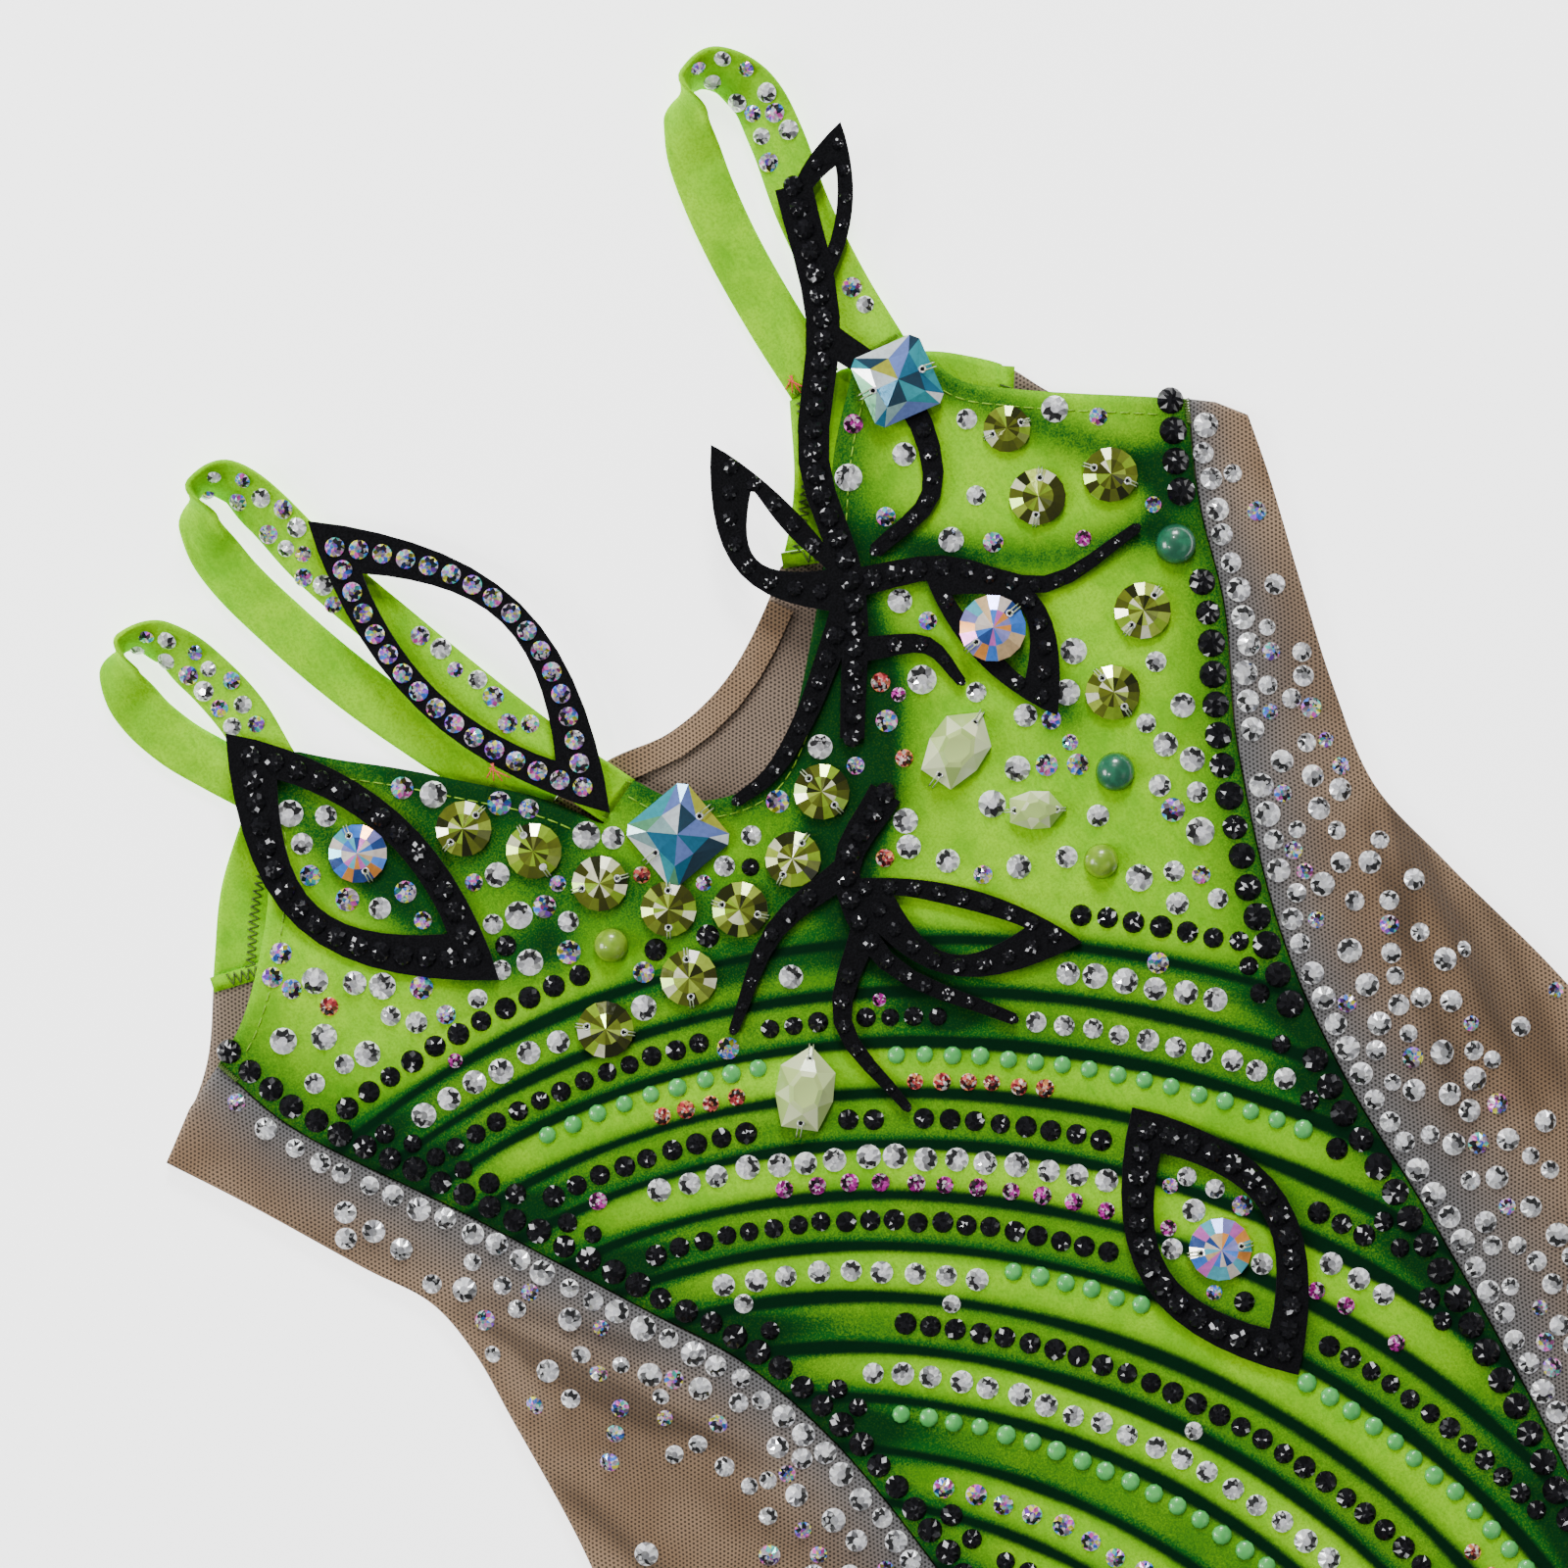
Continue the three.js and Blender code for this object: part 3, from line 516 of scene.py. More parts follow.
# %% Velvet material
LIME, LIME_LIGHT, LIME_DEEP = (0.23, 0.64, 0.0), (0.40, 0.86, 0.0), (0.09, 0.38, 0.0)
BOTTLE, INK = (0.006, 0.10, 0.012), (0.0015, 0.018, 0.006)


def dye(start, base):
    """Dark lines on the waves with a halo on one side, and a cloud by the seams and trim."""
    fuzz = noise(start, 900, 4, 0.7) - 0.5
    count = attribute(start, "wave")
    reach = attribute(start, "reach")
    shade = attribute(start, "shade")
    side = (count + fuzz * 0.05).math("FRACT", count + fuzz * 0.05 + 0.5) - 0.5
    off = start.math("ABSOLUTE", side)
    width = noise(start, 22, 1).ramp(0.25, 0.75) * 0.075 + 0.055
    line = start.math("SUBTRACT", width, off).ramp(-0.08, 0.03) * reach
    halo = off.ramp(0.3, 0.04) * 0.55 + side.ramp(0.5, 0.05) * side.ramp(-0.1, 0.0) * 0.35
    cloud = shade.math("ADD", shade, halo * reach * 0.8, clamp=True)
    speck = noise(start, 2600, 2, 0.7)
    cloud = start.math("MULTIPLY", cloud, speck.ramp(0.2, 0.75) * 0.5 + 0.72, clamp=True)
    base = line.mix(cloud.mix(base, BOTTLE), INK)
    return (shade.ramp(0.75, 1.2) * 0.8).mix(base, INK)


def velvet_material(name, dyed):
    """Cloudy patches, pile, combed strokes and streaks, each mixed over the last."""
    material, shader, start = new_material(name, Roughness=0.85, Sheen_Weight=0.05, Sheen_Roughness=0.35,
                                           Sheen_Tint=(0.7, 1.0, 0.05), Specular_IOR_Level=0.03)
    cloudy = noise(start, 38, 3, 0.55).ramp(0.35, 0.68)
    lean = noise(start, 160, 4, 0.6).ramp(0.3, 0.7)
    pile = noise(start, 1900, 3, 0.65)
    combed = start.node("ShaderNodeVectorMath", {"operation": "MULTIPLY"}, i0=start, i1=(1.0, 0.3, 1.0))
    strokes = noise(start, 1000, 3, 0.6, combed)
    base = (cloudy * 0.6 + lean * 0.4).mix(LIME, LIME_LIGHT)
    base = (pile.ramp(0.62, 0.34) * 0.38).mix(base, LIME_DEEP)
    base = (strokes.ramp(0.5, 0.75) * 0.4).mix(base, LIME_LIGHT)
    base = (strokes.ramp(0.48, 0.25) * 0.3).mix(base, LIME_DEEP)
    streak = noise(start, 60, 4, 0.6).ramp(0.48, 0.72) * 0.5
    base = streak.mix(base, LIME_DEEP)
    if dyed:
        base = dye(start, base)
    bump = pile * 0.6 + strokes * 0.8
    return finish_shader(material, shader, base, rough=0.75 + 0.2 * lean, bump=bump,
                         strength=0.55, distance=0.0004)


velvet = velvet_material("velvet dyed", True)
velvet_plain = velvet_material("velvet plain", False)
print("velvet ready")

# %% [markdown]
# ## Power mesh
#
# Power mesh is a knit of fine holes about a millimetre apart. Its holes are far too many to cut,
# so they are dots in a honeycomb, painted dark as the shade of the layer seen through them, and
# sunk by a bump. Beside the velvet the same spray has turned the mesh from nude to charcoal.

# %% Mesh material
NUDE, NUDE_LIGHT, NUDE_HOLE_SHADE = (0.25, 0.15, 0.08), (0.38, 0.25, 0.15), (0.018, 0.01, 0.005)
CHARCOAL, CHARCOAL_HOLE_SHADE = (0.14, 0.143, 0.15), (0.004, 0.005, 0.006)
FOLD_SHADE_BROWN = (0.06, 0.036, 0.02)
HOLE_PITCH = 0.0009
TURN = 2 * math.pi


def mesh_material():
    """Holes where the mean of three cosines, each a third of a turn from the next, is above zero."""
    material, shader, start = new_material("power mesh", Roughness=0.7, Sheen_Weight=0.15,
                                           Sheen_Tint=(1.0, 0.9, 0.8), Specular_IOR_Level=0.3)
    bend = noise(start, 60, 2) * 0.0016
    axes = start.node("ShaderNodeSeparateXYZ", i0=start)
    along = Sock(start.tree, axes.out.node.outputs[1])
    x = (axes + bend) / HOLE_PITCH
    y = (along - bend) / (HOLE_PITCH * 0.866)
    one, two, three = (start.math("COSINE", way * TURN) for way in (x - y * 0.5, x + y * 0.5, y))
    hole = ((one + two + three) / 3.0).ramp(0.0, 0.4)
    # The shade value is the spray beside the velvet, and on the back mesh painted shade towards the neck
    spray = attribute(start, "shade")
    cloth = noise(start, 45, 3).ramp(0.3, 0.72).mix(NUDE, NUDE_LIGHT)
    thread = spray.mix(cloth, CHARCOAL)
    # Painted fold shade, mixed towards a dark brown
    thread = attribute(start, "fold").mix(thread, FOLD_SHADE_BROWN)
    # Painted shade in the holes: the darker layer below, seen through them
    gap = spray.mix(NUDE_HOLE_SHADE, CHARCOAL_HOLE_SHADE)
    color = (hole * 0.85).mix(thread, gap)
    return finish_shader(material, shader, color, bump=1.0 - hole, strength=0.5, distance=0.0003)


power_mesh = mesh_material()
print("mesh ready")

# %% [markdown]
# ## The panels
#
# Every panel is a patch between the edges that the cutter would draw. The sprayed shading
# is a number on each point: it is strong along the seams and fades out over a centimetre or two.

# %% Edges as smooth lines
side_left, side_right = smooth(SIDE_LEFT), smooth(SIDE_RIGHT)
seam_left, seam_right = smooth(SEAM_LEFT), smooth(SEAM_RIGHT)
leg_right, leg_back = smooth(LEG_FRONT), smooth(LEG_BACK)
leg_left = mirrored(leg_right)
arm_left, arm_right = smooth(ARMHOLE_LEFT), smooth(ARMHOLE_RIGHT)
neck_left, neck_right = smooth(NECK_FRONT_LEFT), smooth(NECK_FRONT_RIGHT)


def below(line, up):
    """The part of a line that lies lower than a height."""
    return line[line[:, 1] < up]


def above(line, up):
    """The part of a line that lies higher than a height."""
    return line[line[:, 1] > up]


velvet_top = np.vstack([arm_left[::-1], neck_left[::-1], neck_right[::-1], arm_right[::-1]])
velvet_left = np.vstack([seam_left, below(leg_left, seam_left[-1, 1] - 2)])
velvet_right = np.vstack([seam_right, below(leg_right, seam_right[-1, 1] - 2)])
velvet_bottom = np.array([leg_left[-1], leg_right[-1]])
velvet_outline = np.vstack([velvet_top, velvet_right, velvet_bottom[::-1], velvet_left[::-1]])
print("velvet top edge, mm:", round(length_of(velvet_top)))

# %% [markdown]
# The front is one piece of velvet. The sprayer darkened it along the seams, the neck and the
# trim, so each of those lines adds a soft shadow that fades with the distance from it.

# %% Front velvet
DARK_WAVES = (1.5, 4.5, 6.5, 8.5, 10.5, 12.5, 13.7)  # gaps between waves that are filled with dye


def trim_lines():
    """Lines that the spray darkens on the velvet, with how far each reaches."""
    return [(seam_left, 22), (seam_right, 17), (neck_left[8:], 11), (neck_right[18:], 12),
            (np.array([(-84, 40), (-66, -18), (-52, -22)]), 12),
            (smooth([(70, 60), (50, 26), (40, 4), (22, -24), (6, -46), (12, -74)]), 13),
            (smooth([(-60, 10), (-38, -14), (-14, -36), (16, -30), (30, -12)]), 21),
            (smooth([(60, 4), (78, -8), (98, -14)]), 8),
            (smooth([(74, 40), (92, 14), (106, -6)]), 9),
            (smooth([(54, 12), (60, -12), (64, -36)]), 9)]


def velvet_shade(x, y):
    """Each line adds exp(-(distance / reach)^2), and together they never pass one and a bit."""
    total = np.zeros_like(x)
    for line, reach in trim_lines():
        total += 0.9 * np.exp(-(near_line(x, y, line) / (0.62 * reach)) ** 2)
    return np.minimum(total, 1.15)


def add_front_velvet():
    """A patch of 190 by 240 points at the soft height, with its wave, dye and shade at each."""
    plan = patch(velvet_top, velvet_bottom, velvet_left, velvet_right, 190, 240)
    x, y = plan[..., 0], plan[..., 1]
    count = wave_count(x, y)
    reach = ramp((WAVE_LAST + 0.4 - count) / 0.6) * ramp((y + 330) / 60)
    deep = sum(np.exp(-((count - k) / 0.5) ** 2) for k in DARK_WAVES)
    shade = velvet_shade(x, y) + 0.72 * np.minimum(deep, 1) * reach
    return cloth_wall("front_velvet_cloth", plan, soft_height(x, y), VELVET_WALL, velvet, "velvet_lime",
                      ("front_velvet",), wave=count, reach=reach, shade=shade)


print("front velvet points:", len(add_front_velvet().data.vertices))

# %% [markdown]
# The side panels are power mesh. They share the seam with the velvet and the side with the back,
# and they are darker along each fold, where the mesh lies double, with painted shade set off to
# one side of the fold as its shadow.

# %% Mesh panels of the front
SPRAY_REACH = 17.0


def mesh_shade(x, y, seam):
    """Charcoal at the seam that fades to nude; it reaches further lower down, with a slow wave."""
    reach = SPRAY_REACH * (0.45 + 0.55 * ramp(-y / 120)) * (1 + 0.25 * np.sin(y / 23.0 + x / 31.0))
    return 0.95 * np.exp(-(near_line(x, y, seam) / reach) ** 2)


def add_front_mesh(name, side, seam, leg, sign):
    """A patch between the side and the seam; sign is 1 where the side is on the left."""
    inner = offset(seam, SEAM_GAP * sign)
    top = np.array([side[0], (side[0] + inner[0]) / 2 + (0, 1.2), inner[0]])
    bottom = above(leg, seam[-1, 1] + 2)
    edges = (top, bottom, side, inner) if sign > 0 else (top[::-1], bottom[::-1], inner, side)
    plan = patch(*edges, 70, 230)
    x, y = plan[..., 0], plan[..., 1]
    # Painted shade along folds and creases, shifted to one side as their shadow, and darker where the mesh
    # lies double
    fold = np.clip(0.05 * ridge(FOLDS, x - 1.0, y + 1.5) + 0.42 * ridge(CREASES, x, y + 1.0), 0, 0.75)
    cloth_wall(name + "_cloth", plan, soft_height(x, y), MESH_WALL, power_mesh, "power_mesh", (name,),
               shade=mesh_shade(x, y, seam), fold=fold)


add_front_mesh("front_mesh_left", side_left, seam_left, leg_left, 1)
add_front_mesh("front_mesh_right", side_right, seam_right, leg_right, -1)

# %% [markdown]
# The back is mesh down to the hip, with a velvet corner at each armhole for the straps and a
# plain velvet seat. It lies flat on the floor, so its inner height is zero everywhere.

# %% Back panels
neck_back_left, neck_back_right = smooth(NECK_BACK_LEFT), smooth(NECK_BACK_RIGHT)
back_arm_left, back_arm_right = smooth(BACK_ARMHOLE_LEFT), smooth(BACK_ARMHOLE_RIGHT)
corner_left, corner_right, seat = smooth(CORNER_LEFT), smooth(CORNER_RIGHT), smooth(SEAT_LINE)


def left_of(line, across):
    """The part of a line that lies left of a place."""
    return line[line[:, 0] < across]


def right_of(line, across):
    """The part of a line that lies right of a place."""
    return line[line[:, 0] > across]


def add_flat(name, plan, thickness, material, slot, **values):
    """A wall that lies flat on the floor."""
    cloth_wall(name + "_cloth", plan, np.zeros(plan.shape[:2]), thickness, material, slot, (name,), **values)


def add_back():
    """Each corner and the seat stop a seam's gap from the mesh."""
    neck_l, neck_r = right_of(neck_back_left, -62.6), left_of(neck_back_right, 30.6)
    top = np.vstack([left_of(back_arm_left, -115), offset(corner_left, SEAM_GAP), neck_l, neck_r,
                     offset(corner_right, SEAM_GAP), right_of(back_arm_right, 92.4)])
    plan = patch(top, offset(seat, -SEAM_GAP), side_left, side_right, 150, 110)
    # Painted shade: the back mesh is darker towards the neck, where the front lies over it
    shade = 0.4 * ramp((plan[..., 1] + 60) / 50)
    add_flat("back_mesh", plan, BACK_WALL, power_mesh, "power_mesh", shade=shade)
    corners = [
        ("back_corner_left", np.vstack([back_arm_left[-1:], neck_back_left[:1]]), corner_left,
         right_of(back_arm_left, -113.6)[::-1], left_of(neck_back_left, -63.2)),
        ("back_corner_right", np.vstack([neck_back_right[-1:], back_arm_right[:1]]), corner_right,
         right_of(neck_back_right, 31.2)[::-1], left_of(back_arm_right, 90.6)),
    ]
    for name, *edges in corners:
        add_flat(name, patch(*edges, 36, 36), CORNER_WALL, velvet_plain, "velvet_lime")
    leg_back_left = mirrored(leg_back)
    bottom = np.array([leg_back_left[-1], leg_back[-1]])
    plan = patch(seat, bottom, leg_back_left, leg_back, 90, 90)
    add_flat("back_brief", plan, CORNER_WALL, velvet_plain, "velvet_lime")


add_back()

# %% [markdown]
# ## Straps
#
# A strap is a folded band of velvet. It leaves the front, turns over at the shoulder and comes
# down behind, so its back leg shows the plain side. The band is a rounded section carried along
# a route; the section rolls over at the top by a table of angles.

# %% Where each strap runs
STRAPS = {  # across, up, rise of the middle line, roll in degrees
    "strap_a": (11.4, [
        (70.6, 47.1, 3.6, 0), (70.8, 62, 3, 0), (72.4, 79, 2.6, 4), (75.6, 95, 2.6, 10),
        (76.2, 105, 3.4, 26), (72.4, 112.6, 4.8, 46), (66.4, 113.6, 5.4, 72), (61.8, 107.6, 3.8, 142),
        (58.6, 97, 1.6, 172), (56.4, 82, 0.9, 180), (55.6, 64, 0.9, 180), (55.8, 48.4, 0.9, 180)]),
    "strap_b": (10.8, [
        (-23.4, -3.4, 3.6, 0), (-29.4, 10, 4.2, 0), (-36, 27, 3.6, 0), (-44, 50, 2.8, 0),
        (-50.4, 70, 2.6, 6), (-53.6, 85, 3.2, 20), (-56.6, 93.6, 4.6, 42), (-62.6, 95.8, 5.4, 74),
        (-66.4, 89.6, 3.8, 144), (-66.6, 79, 1.5, 174), (-62.6, 62, 0.9, 180), (-56.8, 44.4, 0.9, 180),
        (-49.6, 27.6, 0.9, 180), (-42.6, 13, 0.9, 180), (-38.6, 2.6, 0.9, 180)]),
    "strap_c": (10.8, [
        (-79.7, 40.4, 3.6, 0), (-79.6, 52, 3, 0), (-82, 64, 3.2, 14), (-85.4, 72.8, 4.6, 40),
        (-91.6, 76.6, 5.4, 74), (-96.4, 72, 3.8, 144), (-96.8, 63.4, 1.5, 174), (-94.2, 54.4, 0.9, 180),
        (-90, 46.4, 0.9, 180), (-85.2, 38.2, 0.9, 180)]),
}


# %% The path and the section of a strap
def strap_frame(width, route, between=10):
    """Middle line of a strap, its sideways and its face direction at each step."""
    table = np.array(route, float)
    middle = smooth(table[:, :3], between)
    place = np.arange(len(middle)) / between
    i = np.minimum(place.astype(int), len(table) - 2)
    roll = np.radians(table[i, 3] + (table[i + 1, 3] - table[i, 3]) * ramp(place - i))[:, None]
    tangent = np.gradient(middle, axis=0) * [1, 1, 0]
    tangent /= np.linalg.norm(tangent, axis=1, keepdims=True)
    sideways = np.stack([tangent[:, 1], -tangent[:, 0], np.zeros(len(tangent))], 1)
    wide = sideways * np.cos(roll) + np.array([0, 0, 1.0]) * np.sin(roll)
    face = np.cross(wide, tangent)
    reach = np.abs(wide[:, 2]) * width / 2 + np.abs(face[:, 2]) * STRAP_WALL / 2
    middle[:, 2] = np.maximum(middle[:, 2], reach)
    return middle, wide, face, tangent


def band_section(width, thick, count=36):
    """A flat band with round edges and a slight dip inside each stitched edge."""
    turn = np.linspace(0, TURN, count, endpoint=False)
    side = np.sign(np.cos(turn)) * np.abs(np.cos(turn)) ** 0.45
    face = np.sign(np.sin(turn)) * np.abs(np.sin(turn)) ** 0.6
    dip = 1 - 0.3 * np.exp(-((np.abs(side) - 0.66) / 0.09) ** 2)
    return side * width / 2, face * dip * thick / 2


# %% Straps as meshes
SEWN_IN = 0.7  # each end of a strap runs on to the edge it is sewn to


def add_strap(node, width, route):
    """The section carried along the route, closed at each end by triangles round a middle point."""
    middle, wide, face, tangent = strap_frame(width, route)
    middle[0] -= SEWN_IN * tangent[0]
    middle[-1] += SEWN_IN * tangent[-1]
    side, lift = band_section(width, STRAP_WALL)
    points = middle[:, None] + wide[:, None] * side[None, :, None] + face[:, None] * lift[None, :, None]
    rows, columns = points.shape[:2]
    faces = grid_faces(rows, columns, closed=True)
    first, last = rows * columns, rows * columns + 1
    around = np.arange(columns)
    after = np.roll(around, -1)
    start = np.stack([np.full(columns, first), after, around, around], 1)
    end = np.stack([np.full(columns, last), around, after, after], 1) + [0, *([(rows - 1) * columns] * 3)]
    triangles = np.vstack([start, end])[:, :3]
    mesh_faces = [tuple(f) for f in faces[:, ::-1].tolist()] + [tuple(f[::-1]) for f in triangles.tolist()]
    points = np.vstack([points.reshape(-1, 3), middle[0], middle[-1]])
    mesh = bpy.data.meshes.new(node + "_velvet")
    mesh.from_pydata(to_frame(points), [], mesh_faces)
    return lay(mesh, velvet_plain, (node,))


for node, (width, route) in STRAPS.items():
    strap = add_strap(node, width, route)
    print(node, "faces:", len(strap.data.polygons))

# %% [markdown]
# ## Cut stones
#
# Cut glass shows a patchwork: each facet throws back another part of the room. Only a few
# colours come back from one kind of glass, so each facet is painted with a reflection colour
# from a short list and keeps it. Flat shading and a low roughness let the lamps add their own
# glints on top.

# %% Colours of the glass with their painted reflections and highlights, brightest first
GLASS_AND_REFLECTIONS = {
    "clear": [(1.0, 1.0, 1.0), (0.96, 0.97, 1.0), (0.9, 0.9, 0.95), (0.8, 0.8, 0.84)],
    "aurora": [(0.85, 0.76, 0.84), (0.6, 0.5, 0.64), (0.9, 0.12, 0.6), (0.36, 0.1, 0.9),
               (0.06, 0.22, 0.95), (0.85, 0.85, 0.06), (0.1, 0.7, 0.6), (0.4, 0.3, 0.42)],
    "fire": [(1.0, 0.85, 0.75), (0.95, 0.35, 0.06), (0.06, 0.25, 0.9), (0.7, 0.16, 0.6), (0.12, 0.6, 0.75),
             (0.3, 0.3, 0.75), (0.9, 0.6, 0.3), (0.03, 0.08, 0.3)],
    "jet": [(0.6, 0.6, 0.62), (0.06, 0.06, 0.065), *12 * [(0.004, 0.004, 0.005)],
            *12 * [(0.009, 0.009, 0.011)]],
    "rose": [(1.0, 0.7, 0.6), (1.0, 0.35, 0.12), (0.85, 0.12, 0.12), (0.55, 0.05, 0.06), (0.2, 0.01, 0.02)],
    "fuchsia": [(1.0, 0.6, 0.9), (0.85, 0.05, 0.6), (0.6, 0.01, 0.4), (0.35, 0.0, 0.22), (0.1, 0.0, 0.06)],
    "peridot": [(0.95, 1.0, 0.6), (0.45, 0.6, 0.06), (0.2, 0.26, 0.02), (0.1, 0.12, 0.008),
                (0.05, 0.055, 0.004), (0.14, 0.17, 0.012), (0.02, 0.024, 0.002), (0.3, 0.5, 0.02)],
    "prism": [(0.85, 0.95, 1.0), (0.04, 0.38, 0.45), (0.02, 0.16, 0.28), (0.16, 0.24, 0.62),
              (0.5, 0.52, 0.05), (0.3, 0.5, 0.5), (0.02, 0.06, 0.1), (0.12, 0.4, 0.2)],
    "opal": [(0.8, 0.9, 0.5), (0.52, 0.68, 0.22), (0.42, 0.6, 0.16), (0.62, 0.76, 0.32)],
}
PAINTED_SHADE_KINDS = ("clear", "aurora", "rose", "fuchsia")  # small stones with a painted dark side and a painted bright rim
SMALL_FACETS = 41  # five for each of eight wedges and the foot
rng = np.random.default_rng(12)
print("stone kinds:", ", ".join(GLASS_AND_REFLECTIONS))


# %% Light of the facets
def facet_colours(kind, shape, spread=0.18):
    """One painted reflection colour a facet from the kind's list, made a little lighter or darker."""
    table = np.array(GLASS_AND_REFLECTIONS[kind])
    picked = table[rng.integers(0, len(table), shape)]
    return np.clip(picked * (1 + spread * (rng.random((*shape, 1)) - 0.5)), 0, 1)


def facet_light(count):
    """Painted light and shade of each facet of a small stone: its middle ring is painted dark where
    (1 + cos(angle)) / 2 is large, with an angle of its own for each stone, and its rim is painted bright."""
    around = TURN * np.arange(8) / 8
    turn = TURN * rng.random((count, 1))
    dark = (0.5 + 0.5 * np.cos(around - turn)) ** 1.3
    # Five numbers for each of the eight wedges, of which four are used
    speckle = rng.random((count, 8, 5))
    table = np.repeat(0.2 + 0.6 * rng.random((count, 1)), 8, axis=1)
    star = np.clip(1.0 - 1.5 * dark, 0.02, 1) * (0.6 + 0.4 * speckle[..., 0])
    kite = np.clip(1.0 - 1.35 * np.roll(dark, 1, axis=1), 0.03, 1) * (0.5 + 0.5 * speckle[..., 1])
    rim_one = np.where(speckle[..., 3] < 0.3, 0.25, 1.0)
    rim_two = np.where(speckle[..., 4] < 0.3, 0.35, 1.0)
    light = np.stack([table, star, kite, rim_one, rim_two], -1).reshape(count, SMALL_FACETS - 1)
    return np.c_[light, np.ones(count)][..., None]


# %% Glass and pearl
def glass_material(name, metal=0.35, rough=0.06, broken=0.12, painted_glints=0.0, coat=0.5, painted_glow=0.0, specular=0.5):
    """Facet colours broken up by flat cells of painted dark reflection, for the facets behind seen through
    those in front, with painted white glints, and the same colours given out as a painted glow.
    """
    material, shader, start = new_material(name, Metallic=metal, Coat_Weight=coat, Coat_Roughness=0.03,
                                           Emission_Strength=painted_glow, Specular_IOR_Level=specular)
    tint = attribute(start, "tint", 0)
    cells = start.node("ShaderNodeTexVoronoi", {"feature": "F1"}, output=1, Vector=start, Scale=1500.0)
    level = cells.node("ShaderNodeSeparateColor", i0=cells)
    # Painted dark reflections in some cells, and painted white glints in others
    color = (level.ramp(0.35, 0.75) * broken).mix(tint, (0.01, 0.012, 0.012))
    color = (level.ramp(0.14, 0.04) * painted_glints).mix(color, (1.0, 1.0, 1.0))
    # Painted glow: the facet colours, painted reflections included, are also emitted
    plug(start.tree, shader.inputs["Emission Color"], color)
    return finish_shader(material, shader, color, rough=rough + level * 0.06)


def pearl_material(name, color, deep):
    """Two near colours in soft clouds under a clear coat."""
    material, shader, start = new_material(name, Coat_Weight=0.8, Coat_Roughness=0.08)
    cloud = noise(start, 500, 2, 0.5).ramp(0.3, 0.7)
    return finish_shader(material, shader, cloud.mix(color, deep), rough=0.25 + cloud * 0.1)


glass = glass_material("cut glass", metal=0.2, painted_glints=0.4, painted_glow=0.36)
glass_large = glass_material("large cut glass", painted_glow=0.1)
jet_glass = glass_material("jet glass", metal=0.0, rough=0.05, broken=0.0, coat=0.0, specular=0.3)
opal_glass = glass_material("opal glass", metal=0.0, rough=0.16, broken=0.0, painted_glow=0.05)
mint = pearl_material("mint", (0.12, 0.6, 0.13), (0.07, 0.46, 0.09))
sea_green = pearl_material("sea green pearl", (0.02, 0.18, 0.09), (0.008, 0.09, 0.045))
olive_pearl = pearl_material("olive pearl", (0.3, 0.5, 0.03), (0.17, 0.33, 0.01))
print("glass and pearl ready")


# %% Shapes of stones in a unit circle
def ring(count, radius, height, turn=0.0):
    """Points at even steps of angle, started a share of a step on."""
    angle = TURN * (np.arange(count) + turn) / count
    return np.stack([radius * np.cos(angle), radius * np.sin(angle), np.full(count, height)], 1)


def small_cut():
    """A star of eight on the flat top, eight star facets, eight kites and sixteen rim facets."""
    points = np.vstack([[(0, 0, 0.5)], ring(8, 0.36, 0.5), ring(8, 0.72, 0.38, 0.5), ring(16, 1, 0.03)])
    faces = []
    for i in range(8):
        now, after, mid, before = 1 + i, 1 + (i + 1) % 8, 9 + i, 9 + (i - 1) % 8
        rim = [17 + (2 * i + k) % 16 for k in range(3)]
        faces += [(0, now, after), (now, mid, after), (now, before, rim[0], mid),
                  (mid, rim[0], rim[1]), (mid, rim[1], rim[2])]
    faces.append(tuple(range(32, 16, -1)))
    return points, faces


def dome(sides=12, height=0.75):
    """Four rings on a quarter circle and a flat cap."""
    turns = np.radians([0, 24, 48, 70])
    points = np.vstack([ring(sides, math.cos(t), height * math.sin(t)) for t in turns])
    faces = [tuple(f[::-1]) for f in grid_faces(4, sides, closed=True)[:, ::-1].tolist()]
    faces.append(tuple(range(3 * sides, 4 * sides)))
    faces.append(tuple(range(sides - 1, -1, -1)))
    return points, faces


print("small stone faces:", len(small_cut()[1]), " dome faces:", len(dome()[1]))


# %% Shapes of large stones
def large_cut(outline, levels, tip):
    """Rings of the outline, scaled and raised; a ring of half steps makes a zigzag of facets."""
    count = len(outline)
    rings, halves = [], []
    for scale, height, half in levels:
        flat = outline if not half else (outline + np.roll(outline, -1, 0)) / 2
        rings.append(np.c_[flat * scale, np.full(count, height)])
        halves.append(half)
    points = np.vstack(rings + [[(0, 0, tip)]])
    faces = [tuple(range(count - 1, -1, -1))]
    for level in range(len(levels) - 1):
        low, top = level * count, (level + 1) * count
        for i in range(count):
            j = (i + 1) % count
            if halves[level] == halves[level + 1]:
                faces.append((low + i, low + j, top + j, top + i))
            elif halves[level + 1]:
                faces += [(low + i, low + j, top + i), (top + i, low + j, top + j)]
            else:
                faces += [(low + i, top + j, top + i), (low + i, low + j, top + j)]
    last = (len(levels) - 1) * count
    if tip > levels[-1][1]:
        faces += [(last + i, last + (i + 1) % count, len(points) - 1) for i in range(count)]
    else:
        faces.append(tuple(last + i for i in range(count)))
        points = points[:-1]
    return points, faces


def square_outline(cut=0.2):
    """A square with its corners cut: eight points, of reach one."""
    half_side = 0.92
    corner = np.array([[1, 1 - cut], [1 - cut, 1]]) * half_side
    turns = [np.array([[math.cos(a), math.sin(a)], [-math.sin(a), math.cos(a)]])
             for a in np.radians([0, 90, 180, 270])]
    return np.vstack([corner @ turn for turn in turns])


